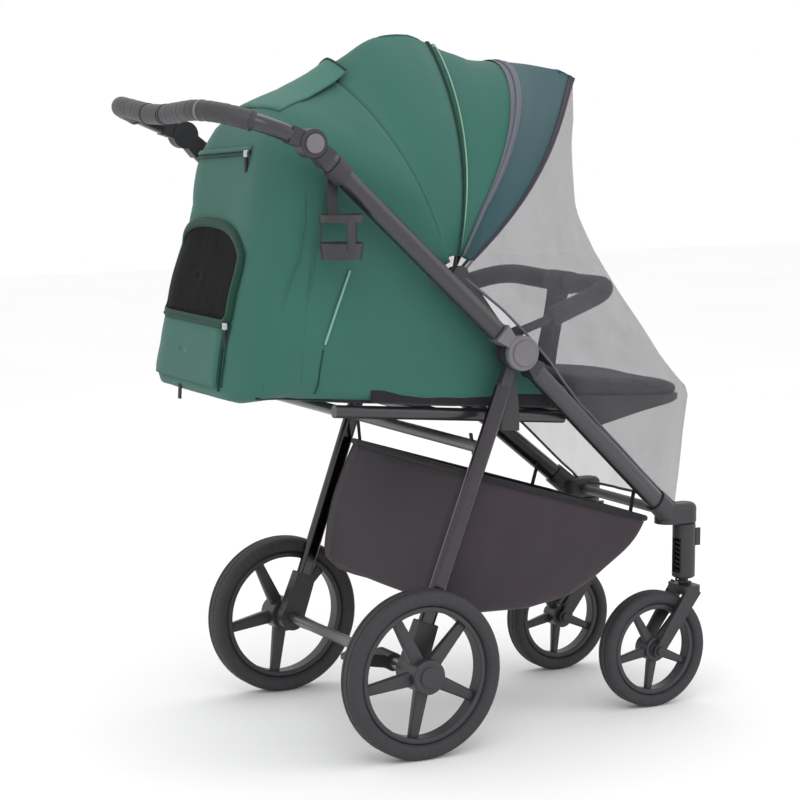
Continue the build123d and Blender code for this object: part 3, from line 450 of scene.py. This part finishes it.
# Tables by angle round PIVOT, in degrees from the front: outer radius R, radius s where the side turns into the
# crown, half width W, crown exponent b, flat half width f of the crown, and the flare at the pivot.
PHI = {
    "R": [(41, .487), (45, .478), (60, .405), (62, .401), (65, .392), (68, .386), (76, .385), (80, .388),
          (83, .394), (86, .400), (90, .401), (93, .400), (96, .397), (100, .388), (104, .377), (108, .368),
          (112, .362), (116, .3605), (120, .363), (125, .369), (130, .377), (134, .383), (140, .382),
          (143.4, .377), (148.7, .3675), (161.5, .346), (173.5, .344), (191.3, .381), (200, .412),
          (204, .428), (206, .4347)],
    "s": [(41, .06), (45, .06), (60, .15), (70, .10), (80, .05), (113, .10), (134, .225), (140, .262),
          (146, .280), (150, .270), (161, .24), (173, .238), (191, .275), (200, .307)],
    "W": [(41, .224), (45, .222), (60, .200), (70, .208), (80, .214), (113, .213), (150, .207), (290, .207),
          (302, .203), (316, .195)],
    "b": [(41, 2.3), (45, 2.2), (60, 1.15), (70, 1.5), (80, 1.85), (95, 1.7), (113, 1.35), (134, 1.0)],
    "f": [(41, 0), (125, .0), (140, .07), (150, .095), (200, .104), (212, .13), (225, .18), (316, .17)],
    "flare": [(41, .0), (60, .010), (80, .0), (316, .0)],
}


def value(key, phi):
    table = PHI[key]
    return float(np.interp(phi, [p for p, _ in table], [v for _, v in table]))


def radius_at(phi):
    """Outer radius: the table over the hood and the wall, then the sloping floor."""
    if phi <= WALL_END:
        return value("R", phi)
    a = math.radians(phi)
    floor = -FLOOR_DEPTH / (math.sin(a) + FLOOR_SLOPE * math.cos(a))
    ease = min(1.0, (phi - WALL_END) / FLOOR_EASE)
    return (1 - ease) * WALL_END_RADIUS + ease * floor


def shape_at(phi):
    """R, s, W, b and f at an angle; past 200 degrees s is a corner's width inside R."""
    R = radius_at(phi)
    if phi <= 200:
        s = value("s", phi)
    else:
        s = R - float(np.interp(phi, [200, 212, 225, 316], [.103, .075, .03, .026]))
    return R, s, value("W", phi), value("b", phi), value("f", phi)


def crown_point(phi, y, off=0.0):
    """Point on the top, wall or floor side of the shell, by angle and sideways place."""
    R, s, W, b, f = shape_at(phi)
    u = min(1.0, max(0.0, (abs(y) - f) / (W - f)))
    theta = math.acos(min(1.0, u ** (1 / b)))
    r = s + (R - s) * math.sin(theta)
    a = math.radians(phi)
    return np.array([PIVOT[0] + (r + off) * math.cos(a), y, PIVOT[2] + (r + off) * math.sin(a)])


def side_y(x, z):
    """Half width of the shell at a place in side view."""
    dx, dz = x - PIVOT[0], z - PIVOT[2]
    r, phi = math.hypot(dx, dz), math.degrees(math.atan2(dz, dx)) % 360
    R, s, W, b, f = shape_at(phi)
    if r <= s:
        return W + value("flare", phi) * max(0.0, 1 - r / FLARE_REACH)
    u = min(1.0, (r - s) / (R - s))
    return f + (W - f) * (1 - u * u) ** (b / 2)


def side_point(x, z, sign, off=0.0):
    return np.array([x, sign * (side_y(x, z) + off), z])


def section(phi, inner_r=0.022, grow=0.0):
    """Half section points from the pivot side out and over to the middle."""
    R, s, W, b, f = shape_at(phi)
    a = math.radians(phi)
    flare = value("flare", phi)
    rows = []
    for t in np.linspace(0, 1, 10)[:-1]:
        r = inner_r + (s - inner_r) * t
        rows.append((r, W + flare * max(0.0, 1 - r / FLARE_REACH)))
    for theta in np.linspace(0, math.pi / 2, 18):
        rows.append((s + (R - s) * math.sin(theta), f + (W - f) * max(0.0, math.cos(theta)) ** b))
    for t in np.linspace(0, 1, 6)[1:]:
        rows.append((R, f * (1 - t)))
    pts = np.array([[PIVOT[0] + (r + grow) * math.cos(a), y + grow, PIVOT[2] + (r + grow) * math.sin(a)]
                    for r, y in rows])
    pts[-1, 1] = 0
    return pts


def full_section(phi, inner_r=0.022, grow=0.0):
    half = section(phi, inner_r, grow)
    other = half[:-1][::-1] * np.array([1, -1, 1])
    return np.concatenate([half, other])


def ripple(grid, amount, seed, edge_rows=3):
    """Soft creases along the surface normal, fading at the first and last rows."""
    normals = grid_normals(grid, PIVOT)
    nu = len(grid)
    for i in range(nu):
        fade = min(1.0, i / edge_rows, (nu - 1 - i) / edge_rows)
        for j in range(grid.shape[1]):
            p = grid[i, j]
            wide = noise.noise(Vector((p[0] * 9 + seed, p[1] * 7, p[2] * 9)))
            fine = noise.noise(Vector((p[0] * 26 + seed, p[1] * 20, p[2] * 22)))
            grid[i, j] = p + normals[i, j] * amount * fade * (wide + 0.3 * fine)
    return grid


def panel_grid(start, end, rows, inner_r=0.022, sag=0.0, amount=0.004, seed=0.0, grow=0.0):
    """Grid of a hood panel between two angles, sagging between its bows."""
    phis = np.linspace(start, end, rows)
    grid = np.stack([full_section(p, inner_r, grow) for p in phis])
    centre = grid - PIVOT
    for i, p in enumerate(phis):
        t = (p - start) / (end - start)
        dip = sag * math.sin(math.pi * t)
        length = np.linalg.norm(centre[i], axis=1, keepdims=True)
        grid[i] -= centre[i] / length * dip * np.clip(length / 0.35, 0, 1)
    return ripple(grid, amount, seed)


# ------------------------------------------------------------ cabin, hood, visor

HOOD_INNER = 0.03
PANEL_THICKNESS = 0.0022

cabin_phis = np.concatenate([np.linspace(113, 200, 46), np.linspace(203, 226, 12), np.linspace(232, 316, 22)])
cabin_grid = np.stack([full_section(p) for p in cabin_phis])
cabin_grid = ripple(cabin_grid, 0.0035, 3.1)
cabin = sheet_grid("cabin_shell", cabin_grid, 0.0028, "green", PIVOT)
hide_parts("cabin_fabric", "canopy_panel_rear")
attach(cabin, "base_frame")

rear_grid = panel_grid(80, 113.2, 22, HOOD_INNER, sag=0.003, amount=0.004, seed=5.0, grow=0.0006)
hood_rear = sheet_grid("hood_panel_rear", rear_grid, PANEL_THICKNESS, "green", PIVOT)
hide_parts("canopy_panel_mid")
front_grid = panel_grid(60, 80.2, 16, HOOD_INNER, sag=0.004, amount=0.003, seed=9.0, grow=0.0012)
hood_front = sheet_grid("hood_panel_front", front_grid, PANEL_THICKNESS, "green", PIVOT)
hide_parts("canopy_panel_front")
visor_grid = panel_grid(41.5, 60.2, 16, HOOD_INNER, sag=0.006, amount=0.002, seed=2.0, grow=0.0018)
visor = sheet_grid("hood_visor", visor_grid, 0.002, "teal", PIVOT)
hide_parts("canopy_visor")


def band(name, phi_a, phi_b, grow, thickness, material, body):
    """Strip of tape that follows a bow over the hood."""
    grid = np.stack([full_section(p, HOOD_INNER, grow) for p in np.linspace(phi_a, phi_b, 4)])
    strip = sheet_grid(name, grid, thickness, material, PIVOT)
    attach(strip, body)
    return strip


for name, phi, radius, material, body, grow in (
        ("piping_rear_bow", 80.4, .0027, "green_dark", "bow_rear", .0026),
        ("piping_rear_bow_light", 78.6, .0016, "piping", "bow_rear", .0030),
        ("zip_teeth", 60.1, .0028, "zip", "bow_mid", .0040)):
    line = resample(full_section(phi, HOOD_INNER, grow), 150)
    rope = tube(name, line, radius, material, 8)
    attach(rope, body)
band("zip_tape_rear", 60.4, 61.9, .0030, .0012, "zip", "bow_mid")
band("zip_tape_front", 58.3, 59.9, .0034, .0012, "trim", "bow_mid")
band("visor_edge_tape", 41.2, 42.5, .0032, .0016, "edge", "bow_front")
edge_line = resample(full_section(41.3, HOOD_INNER, .0022), 150)
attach(tube("visor_edge_piping", edge_line, .0032, "edge", 10), "bow_front")
for piece, a, b, start, end in ((hood_rear, "base_frame", "bow_rear", 112, 82),
                                (hood_front, "bow_rear", "bow_mid", 79, 62),
                                (visor, "bow_mid", "bow_front", 59, 45)):
    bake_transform(piece)

# bows under the cloth, with their end eyes
for node, phi, body in (("canopy_bow_rear", 80, "bow_rear"), ("canopy_bow_mid", 60, "bow_mid"),
                        ("canopy_bow_front", 45, "bow_front")):
    line = resample(full_section(phi, .012, -.006), 110)
    bow = tube(node + "_strip", line, .0045, "bow", 8, flat=.5)
    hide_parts(node)
    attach(bow, body)
    for sign in (-1, 1):
        y = sign * (value("W", phi) + value("flare", phi))
        eye_line = [(PIVOT[0], y - sign * .006, PIVOT[2]), (PIVOT[0], y + sign * .003, PIVOT[2])]
        eye_up = np.array([[0, 0, 1.0]] * 2)
        eye = tube(f"{node}_eye_{'left' if sign > 0 else 'right'}", eye_line, .012, "bow", 20, up=eye_up)
        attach(eye, body)


# ------------------------------------------------------------ rear wall details

def wall_point(y, z, off=0.0):
    """Point on the rear wall at a sideways place and height, moved off along the wall's normal."""
    lo, hi = 118.0, 206.0
    for _ in range(26):
        mid = (lo + hi) / 2
        if crown_point(mid, y, 0)[2] > z:
            lo = mid
        else:
            hi = mid
    p = crown_point(mid, y, 0)
    e = 0.004
    q = crown_point(mid + .6, y, 0) - p
    w = crown_point(mid, y + (e if y < 0 else -e), 0) - p
    n = np.cross(q, w)
    n /= np.linalg.norm(n)
    if n @ (p - PIVOT) < 0:
        n = -n
    return p + n * off


def wall_patch(name, outline, rings, off, thickness, material):
    """Patch of cloth on the rear wall inside an outline of (y, z) points."""
    outline = np.asarray(outline, float)
    middle = outline.mean(0)
    grid = []
    for k in range(rings):
        t = max(0.003, k / (rings - 1))
        grid.append([wall_point(*(middle + (o - middle) * t), off) for o in outline])
    return sheet_grid(name, np.array(grid), thickness, material, PIVOT, loop=True)


def arch_outline(half, low, high, shoulder, corner=.02, count=16):
    """Outline of an arched window with round lower corners, as (y, z) points."""
    pts = []
    for t in np.linspace(0, math.pi / 2, count):
        pts.append((half * math.cos(t) ** .8, shoulder + (high - shoulder) * math.sin(t) ** .8))
    pts += [(-y, z) for y, z in pts[::-1][1:]]
    for z in np.linspace(shoulder, low + corner, 8)[1:]:
        pts.append((-half, z))
    for t in np.linspace(0, math.pi / 2, 5)[1:]:
        pts.append((-half + corner * (1 - math.cos(t)), low + corner * (1 - math.sin(t))))
    for y in np.linspace(-half + corner, half - corner, 14)[1:]:
        pts.append((y, low))
    for t in np.linspace(math.pi / 2, 0, 5)[1:]:
        pts.append((half - corner * (1 - math.cos(t)), low + corner * (1 - math.sin(t))))
    for z in np.linspace(low + corner, shoulder, 8)[1:-1]:
        pts.append((half, z))
    return pts


window = [(y + .022, z) for y, z in arch_outline(.142, .732, .893, .80)]
mesh_window = wall_patch("rear_window_mesh", window, 12, .0036, .0012, "window")
binding_line = resample([wall_point(y, z, .0045) for y, z in window + window[:1]], 130)[:-1]
binding = tube("rear_window_binding", binding_line, .0085, "green_dark", 10, loop=True, flat=.45,
               up=binding_line - PIVOT)
pocket_outline = [(y, .729) for y in np.linspace(.178, -.108, 26)]
pocket_outline += [(-.112, z) for z in np.linspace(.72, .635, 7)]
pocket_outline += [(y, .630) for y in np.linspace(-.106, .17, 26)]
pocket_outline += [(.178, z) for z in np.linspace(.635, .72, 7)]
pocket = wall_patch("rear_pocket", pocket_outline, 8, .0055, .002, "green")
pocket_edge = resample([wall_point(y, .7295, .0065) for y in np.linspace(-.110, .178, 50)], 80)
pocket_hem = tube("rear_pocket_hem", pocket_edge, .003, "green_dark", 8)
for piece in (mesh_window, binding, pocket, pocket_hem):
    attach(piece, "base_frame")


def wall_line(name, points, radius, material, off, flat=None, count=60):
    """Seam or zip along (y, z) points of the rear wall."""
    line = resample([wall_point(y, z, off) for y, z in points], count)
    t = tube(name, line, radius, material, 8, flat=flat, up=line - PIVOT)
    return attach(t, "base_frame")


wall_line("pocket_side_seam", [(-.116, z) for z in np.linspace(.727, .625, 12)], .0028, "green_dark", .002)
wall_line("pocket_side_zip", [(-.126, z) for z in np.linspace(.735, .632, 12)], .0016, "green_dark", .003)
zip_points = [(y, 1.007 - .07 * y) for y in np.linspace(-.075, .155, 30)]
zip_flap_points = [(y, 1.015 - .07 * y) for y in np.linspace(-.078, .160, 30)]
wall_line("top_zip", zip_points, .0032, "green_dark", .002, .6)
wall_line("top_zip_flap", zip_flap_points, .0046, "green", .003, .5)
wall_line("wall_seam_near", [(-.196, z) for z in np.linspace(.95, .64, 30)], .0010, "green", .0008)
wall_line("wall_seam_far", [(.196, z) for z in np.linspace(.95, .64, 30)], .0010, "green", .0008)


def zip_pull(name, at, toward, length):
    """Metal slider with a hanging puller."""
    slider = box_piece(name + "_slider", at, (.006, .012, .012), "zip_metal", 0, .0015)
    drop = np.asarray(at) + np.asarray(toward) * (length / 2 + .006)
    puller = box_piece(name + "_puller", drop, (.004, .009, length), "dark", 0, .0015)
    for piece in (slider, puller):
        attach(piece, "base_frame")


zip_pull("pocket_zip", wall_point(-.120, .730, .009), (0, 0, -1), .034)
zip_pull("top_zip_pull", wall_point(-.074, 1.010, .008), (0, 0, -1), .026)
tab_centre = wall_point(.05, .626, .002) + np.array([.004, 0, -.016])
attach(box_piece("hang_tab", tab_centre, (.002, .012, .034), "dark", .05, .0006), "base_frame")


# ------------------------------------------------------------ side details

def side_strip(name, points, radius, material, off, flat=None, count=70):
    """Strip on both side walls, along (x, z) points."""
    for sign, tag in ((-1, "right"), (1, "left")):
        line = resample([side_point(x, z, sign, off) for x, z in points], count)
        up = np.array([[0, float(sign), 0]] * count)
        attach(tube(f"{name}_{tag}", line, radius, material, 8, flat=flat, up=up), "base_frame")


def curve(points, count=30):
    """Smooth line through side-view points."""
    p = resample([(x, 0, z) for x, z in points], count)
    for _ in range(4):
        p[1:-1] = p[:-2] * .25 + p[1:-1] * .5 + p[2:] * .25
    return [(q[0], q[2]) for q in p]


def floor_line(start, end, count, above):
    """Points along the sloping floor's edge in side view, a little above it."""
    return [(x, .5905 - FLOOR_SLOPE * (x + .1) + above) for x in np.linspace(start, end, count)]


reflective_points = curve([(-0.240, 0.824), (-0.264, 0.763), (-0.287, 0.703)])
side_seam_points = curve([(-0.289, 0.695), (-0.296, 0.659), (-0.300, 0.621)])
wall_seam_points = curve([(-.330, .640), (-.322, .75), (-.300, .87), (-.285, .95)])
side_strip("reflective_strip", reflective_points, .0022, "piping", .0022)
side_strip("side_seam", side_seam_points, .0012, "green_dark", .0010)
side_strip("wall_side_seam", wall_seam_points, .0010, "green", .0008)
side_strip("floor_band", floor_line(-.20, .16, 24, .012), .011, "dark", .0012, .12)
side_strip("floor_edge_piping", floor_line(-.40, .19, 34, .002), .0024, "dark", .0008)

# vent flap over the back of the hood
flap_rows = []
for phi in np.linspace(110, 134, 14):
    t = (phi - 110) / 24
    half = .056 + .032 * t
    flap_rows.append([crown_point(phi, y, .003 + .013 * (1 - t) ** 1.2) for y in np.linspace(half, -half, 30)])
# the flap takes the lighter copy of the canopy green: painted highlight on its lit top
flap = sheet_grid("vent_flap", np.array(flap_rows), .0024, "flap", PIVOT)
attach(flap, "base_frame")
# dark green tube along the flap's lifted front edge: painted shadow under the lifted edge
flap_shadow_line = tube("vent_flap_edge_painted_shadow", np.array(flap_rows[0]), .0022, "green_dark", 8)
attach(flap_shadow_line, "base_frame")
vent_rows = []
for phi in np.linspace(115, 122, 8):
    vent_rows.append([crown_point(phi, y, .0015) for y in np.linspace(.04, -.04, 16)])
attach(sheet_grid("vent_mesh", np.stack(vent_rows), .001, "window", PIVOT), "base_frame")


# ------------------------------------------------------------ insect net

# The hanging net by height: the front line x, how far the front bulges past it, and the half width.
LEVELS = [1.118, 1.06, .98, .905, .834, .762, .700, .651, .613, .585, .566, .50, .43, .362]
NET_X0 = [.302, .305, .296, .292, .312, .344, .377, .410, .452, .487, .497, .488, .481, .474]
NET_B = [.125, .12, .10, .085, .075, .065, .05, .045, .045, .040, .035, .032, .030, .030]
NET_HALF = [.150, .178, .198, .210, .224, .237, .240, .231, .209, .190, .177, .168, .163, .160]
NET_FOOT = .362
NET_SIDE, NET_FRONT = .22, .56


def net_back(z):
    """Back edge of the net: it follows the visor above the pivot and the front leg below."""
    if z > PIVOT[2]:
        return PIVOT[0] + (z - PIVOT[2]) * 1.13
    heights = [NET_FOOT, .40, .55, .618, .70, .746, .81]
    return float(np.interp(z, heights, [.455, .41, .25, .170, .085, .037, -.044]))


def level_point(z, share):
    """Point of the hanging net at a height, by its share of the way round from left to right."""
    depths = [-v for v in LEVELS]
    x0, bulge, half = (float(np.interp(-z, depths, table)) for table in (NET_X0, NET_B, NET_HALF))
    back, front = net_back(z), x0 - bulge - .01
    edge = min(share, 1 - share)
    if edge < NET_SIDE:
        return np.array([back + (front - back) * edge / NET_SIDE, math.copysign(half, .5 - share), z])
    angle = (share - NET_SIDE) / NET_FRONT * math.pi
    return np.array([front + (bulge + .01) * math.sin(angle) ** .62, half * math.cos(angle), z])


visor_edge = resample(full_section(41.5, HOOD_INNER, .004), 111)
net_rows = []
for t in np.linspace(0, 1, 74):
    row = []
    for j, top in enumerate(visor_edge):
        share = j / 110
        z = top[2] + (NET_FOOT - top[2]) * t
        row.append(level_point(z, share) + (top - level_point(top[2], share)) * (1 - t) ** 2)
    net_rows.append(row)
net_grid = np.array(net_rows)
net_centre = (0.15, 0, .75)
net_normals = grid_normals(net_grid, net_centre)
for i in range(net_grid.shape[0]):
    for j in range(net_grid.shape[1]):
        x, y, z = net_grid[i, j]
        drop = min(1 - (z - NET_FOOT) / .756, i / 20)
        w = noise.noise(Vector((x * 5, y * 16, z * 2.2))) + .5 * noise.noise(Vector((x * 14, y * 44, z * 4)))
        net_grid[i, j] += net_normals[i, j] * .008 * drop * w
net = sheet_grid("insect_net_cloth", net_grid, .0007, "net", net_centre)
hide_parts("insect_net")
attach(net, "base_frame")
hems = [tube("net_hem_left", resample(net_grid[:, 0], 90), .0024, "trim", 8),
        tube("net_hem_right", resample(net_grid[:, -1], 90), .0024, "trim", 8),
        tube("net_hem_bottom", resample(net_grid[-1], 110), .0026, "trim", 8)]
for h in hems:
    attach(h, "base_frame")
for piece in [net, *hems]:
    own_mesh(piece)


# ------------------------------------------------------------ basket

BASKET_X = [-.084, -.07, .03, .14, .216, .275, .331, .388]
BASKET_Z = [.25, .234, .212, .206, .214, .239, .287, .345]
RIM_BACK, RIM_LENGTH = -.02, .408
FLOOR_BACK, FLOOR_FRONT, FLOOR_MIDDLE = -.092, .300, .10
WALL_SHARE, FLOOR_SHARE = .62, .38


def outline_z(x):
    """Height of the basket's underside in side view."""
    return float(np.interp(x, BASKET_X, BASKET_Z))


def rim_z(x):
    """Height of the basket's rim, which slopes down to the front."""
    return .468 - .3015 * (x + .02)


def plan_half(x):
    """Half width of the basket's rim in plan."""
    return float(np.interp(x, [-.1, .06, .42], [.218, .214, .158]))


perimeter = []
for x in np.linspace(-.012, .38, 34):
    perimeter.append((x, plan_half(x)))
for y in np.linspace(.158, -.158, 14)[1:-1]:
    perimeter.append((.388 - .008 * (abs(y) / .158) ** 2, y))
for x in np.linspace(.38, -.012, 34):
    perimeter.append((x, -plan_half(x)))
for y in np.linspace(-.21, .21, 16)[1:-1]:
    perimeter.append((-.02 + .008 * (abs(y) / .21) ** 2, y))
perimeter = np.array(perimeter)
rim3 = np.array([(x, y, rim_z(x)) for x, y in perimeter])
count = len(perimeter)
basket_rows = []
steps = 20
for k in range(steps + 1):
    t = k / steps
    row = []
    for (x, y), top in zip(perimeter, rim3):
        share = (x - RIM_BACK) / RIM_LENGTH
        fx = FLOOR_BACK + (FLOOR_FRONT - FLOOR_BACK) * share
        fy = y * (.93 - .03 * share)
        floor = np.array([fx, fy, outline_z(min(.33, fx))])
        mid_x = FLOOR_MIDDLE + .4 * (fx - FLOOR_MIDDLE)
        mid = np.array([mid_x, 0.0, outline_z(mid_x) - .001])
        out = np.array([.05 * (fx - FLOOR_MIDDLE), .045 * y, 0])
        if t < WALL_SHARE:
            s = t / WALL_SHARE
            p = top + (floor - top) * s + out * math.sin(math.pi * s)
        else:
            s = (t - WALL_SHARE) / FLOOR_SHARE
            p = floor + (mid - floor) * s
        row.append(p)
    basket_rows.append(row)
basket_grid = np.array(basket_rows)
basket_grid[1:-1] = .25 * basket_grid[:-2] + .5 * basket_grid[1:-1] + .25 * basket_grid[2:]
for i in range(1, steps + 1):
    for j in range(count):
        p = basket_grid[i, j]
        out = np.array([0, math.copysign(1, p[1]) if abs(p[1]) > .02 else 0, 0])
        basket_grid[i, j] = p + out * .004 * noise.noise(Vector((p[0] * 12, p[1] * 6, p[2] * 14 + 4)))
basket = sheet_grid("basket_bag", basket_grid, .002, "basket", (.12, 0, .34), loop=True)
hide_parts("basket")
rim_up = np.array([[0, 0, 1.0]] * count)
rim_line = rim3 + np.array([0, 0, .001])
rim_bind = tube("basket_binding", rim_line, .0055, "dark", 10, loop=True, up=rim_up)
for piece in (basket, rim_bind):
    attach(piece, "base_frame")
for sign, tag in ((-1, "right"), (1, "left")):
    for k, (x, lean, rise) in enumerate(((.0, -.01, .075), (.345, .012, .05))):
        low = (x, sign * (plan_half(x) - .002), rim_z(x))
        high = (x + lean, sign * (plan_half(x) - .006), rim_z(x) + rise)
        strap = tube(f"basket_strap_{tag}_{k}", resample([low, high], 6), .006, "dark", 8, flat=.3)
        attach(strap, "base_frame")


# ------------------------------------------------------------ cushions

PUFF = 4.0
PUFF_CAP = .006
PUFF_FRAMES = 20


def soft_pad(name, node, material, puff, cap, body):
    """Cushion cut to its CAD place, inflated with a cloth simulation and held close to it."""
    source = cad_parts[node]
    pad = source.copy()
    pad.data = source.data.copy()
    pad.name = name
    pad.parent = None
    for key in list(pad.keys()):
        if key.startswith("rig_"):
            del pad[key]
    scene.collection.objects.link(pad)
    pad.hide_render = False
    bpy.context.view_layer.objects.active = pad
    remesh = pad.modifiers.new("remesh", "REMESH")
    remesh.mode = "VOXEL"
    remesh.voxel_size = .007
    bpy.ops.object.select_all(action="DESELECT")
    pad.select_set(True)
    bpy.ops.object.modifier_apply(modifier="remesh")
    rest = np.array([v.co for v in pad.data.vertices])
    cloth = pad.modifiers.new("cloth", "CLOTH")
    cloth.settings.quality = 4
    cloth.settings.use_pressure = True
    cloth.settings.uniform_pressure_force = puff
    cloth.settings.effector_weights.gravity = 0
    cloth.settings.shrink_min = -.03
    cloth.collision_settings.use_collision = False
    scene.frame_start, scene.frame_end = 1, PUFF_FRAMES
    for f in range(1, PUFF_FRAMES + 1):
        scene.frame_set(f)
    bpy.ops.object.modifier_apply(modifier="cloth")
    scene.frame_set(1)
    moved = np.array([v.co for v in pad.data.vertices])
    step = moved - rest
    length = np.maximum(np.linalg.norm(step, axis=1, keepdims=True), 1e-9)
    moved = rest + step * np.minimum(1, cap / length)
    pad.data.vertices.foreach_set("co", moved.astype(np.float32).ravel())
    pad.data.update()
    smooth = pad.modifiers.new("smooth", "SMOOTH")
    smooth.factor = .6
    smooth.iterations = 6
    bpy.ops.object.modifier_apply(modifier="smooth")
    sub = pad.modifiers.new("sub", "SUBSURF")
    sub.levels = sub.render_levels = 1
    bpy.ops.object.modifier_apply(modifier="sub")
    pad.data.polygons.foreach_set("use_smooth", [True] * len(pad.data.polygons))
    paint(pad, material)
    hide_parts(node)
    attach(pad, body)
    return pad


soft_pad("seat_pad", "seat_cushion", "pad", PUFF, PUFF_CAP, "base_frame")
soft_pad("backrest_pad", "backrest_cushion", "pad", PUFF, PUFF_CAP, "backrest")
soft_pad("leg_rest_pad", "leg_rest_cushion", "pad", PUFF, PUFF_CAP, "leg_rest")
for k, x in enumerate((.31, .39)):
    z = .603 - .098 * (x - .25)
    quilt = [(x, y, z - .0015 + .001 * math.cos(y * 18)) for y in np.linspace(-.15, .15, 30)]
    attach(tube(f"leg_rest_quilt_{k}", quilt, .0014, "dark", 8), "leg_rest")


# ------------------------------------------------------------ grips

MIRROR = (1, -1, 1)
HANDLE_PIVOT = np.array([-.333, .252, 1.034])
HANDLE_CORNER = np.array([-.490, .252, 1.096])
HANDLE_MIDDLE = (-.490, 0, 1.074)
BUMPER_KNEE = np.array([.121, .2205, .7202])
BUMPER_CORNER = np.array([.290, .190, .772])
BUMPER_MIDDLE = (.303, 0, .766)
GRIP_START_X, TRIGGER_HALF = -.425, .0325


def bent_bar(knee, corner, middle, start, radii):
    """Centre line of a bar bent at both corners, from the left knee over the middle to the right knee."""
    arm = (corner - knee) / np.linalg.norm(corner - knee)
    first = knee + arm * start
    return rounded([first, corner, middle, corner * MIRROR, first * MIRROR], radii, 14)


grip_line = resample(bent_bar(HANDLE_PIVOT, HANDLE_CORNER, HANDLE_MIDDLE, .042, (.12, .6, .12)), 300)
grip_side = grip_line[(grip_line[:, 1] > TRIGGER_HALF) & (grip_line[:, 0] < GRIP_START_X)]
for sign, tag in ((1, "left"), (-1, "right")):
    line = grip_side * (1, sign, 1)
    n = len(line)
    arc = np.arange(n)
    swell = .0168 + .0004 * np.sin(arc * .9) * (np.sin(arc * .37) > 0)
    swell[:2] = .0155
    swell[-2:] = .0155
    cover = tube(f"grip_cover_{tag}", line, swell, "leather", 28)
    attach(cover, "handle")
    if tag == "left":
        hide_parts("handle_grip")
    under = line + np.array([.010, 0, -.0133])
    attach(tube(f"grip_stitch_{tag}", under, .0012, "stitch", 6), "handle")
    for k, look in ((int(n * .42), "stitch"), (n - 3, "black"), (3, "black")):
        ring = line[k]
        t = line[min(n - 1, k + 1)] - line[k - 1]
        t /= np.linalg.norm(t)
        ring_line = [ring - t * .0022, ring + t * .0022]
        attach(tube(f"grip_ring_{tag}_{k}", ring_line, .0176, look, 28), "handle")

bump_line = resample(bent_bar(BUMPER_KNEE, BUMPER_CORNER, BUMPER_MIDDLE, .022, (.07, .5, .07)), 150)
n = len(bump_line)
ends = np.minimum(np.arange(n), np.arange(n)[::-1])
thick = .0172 * np.clip((ends + 1.5) / 4, .55, 1) ** .5
bumper_cover = tube("bumper_cover", bump_line, thick, "pad", 28)
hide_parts("bumper_grip")
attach(bumper_cover, "bumper")
seam_line = bump_line[4:-4] + np.array([-.004, 0, -.0165])
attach(tube("bumper_seam", seam_line, .0014, "stitch", 6), "bumper")
strap_rows = []
for t in np.linspace(0, 1, 16):
    x = .300 - .030 * t
    z = .760 - .146 * t
    half = .032 - .004 * math.sin(math.pi * t)
    strap_rows.append([(x + .010 * (1 - (y / half) ** 2) * .6, y, z) for y in np.linspace(half, -half, 12)])
strap = sheet_grid("bumper_crotch_strap", np.array(strap_rows), .009, "pad", (0, 0, .69))
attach(strap, "bumper")
wrap = tube("bumper_strap_wrap", resample([(.303, -.032, .766), (.303, .032, .766)], 6), .0202, "pad", 28)
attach(wrap, "bumper")


# ------------------------------------------------------------ stage, light and camera

FLOOR_HALF = 9
FLOOR_TONES = ((.3, (.955, .955, .955)), (.7, (.975, .975, .975)))
CAMERA_LENS = 112.66
CAMERA_TARGET = Vector((-.03332, -.00141, .5705))
CAMERA_BACK = Vector((-.4749, -.8696, .1352))
CAMERA_DISTANCE = 4.42227

floor_mesh = bpy.data.meshes.new("floor")
floor_corners = [(sx * FLOOR_HALF, sy * FLOOR_HALF, 0) for sx, sy in ((-1, -1), (1, -1), (1, 1), (-1, 1))]
floor_mesh.from_pydata(floor_corners, [], [(0, 1, 2, 3)])
floor = bpy.data.objects.new("floor", floor_mesh)
scene.collection.objects.link(floor)
plain = Shader("studio_floor")
plain.link(plain.ramp(plain.noise(1.5, 2), FLOOR_TONES), plain.bsdf.inputs["Base Color"])
plain.set(Roughness=.9)
floor.data.materials.append(plain.mat)
world = bpy.data.worlds.new("studio")
scene.world = world
world.use_nodes = True
background = world.node_tree.nodes["Background"]
background.inputs["Color"].default_value = (1, 1, 1, 1)
background.inputs["Strength"].default_value = 1.0


def area_light(name, place, target, size, power):
    data = bpy.data.lights.new(name, "AREA")
    data.size = size
    data.energy = power
    lamp = bpy.data.objects.new(name, data)
    lamp.location = place
    lamp.rotation_euler = (Vector(target) - Vector(place)).to_track_quat("-Z", "Y").to_euler()
    scene.collection.objects.link(lamp)


area_light("key", (-1.6, -2.8, 3.0), (0, 0, .6), 2.2, 26)
area_light("fill", (2.6, -2.4, 1.8), (0, 0, .6), 2.4, 12)
area_light("top", (0.2, .6, 3.6), (0, 0, .6), 2.6, 16)

camera_data = bpy.data.cameras.new("photo_view")
camera_data.sensor_width = 36
camera_data.lens = CAMERA_LENS
camera = bpy.data.objects.new("photo_view", camera_data)
camera.location = CAMERA_TARGET + CAMERA_BACK * CAMERA_DISTANCE
camera.rotation_euler = (-CAMERA_BACK).to_track_quat("-Z", "Y").to_euler()
scene.collection.objects.link(camera)
scene.camera = camera

bpy.context.view_layer.update()
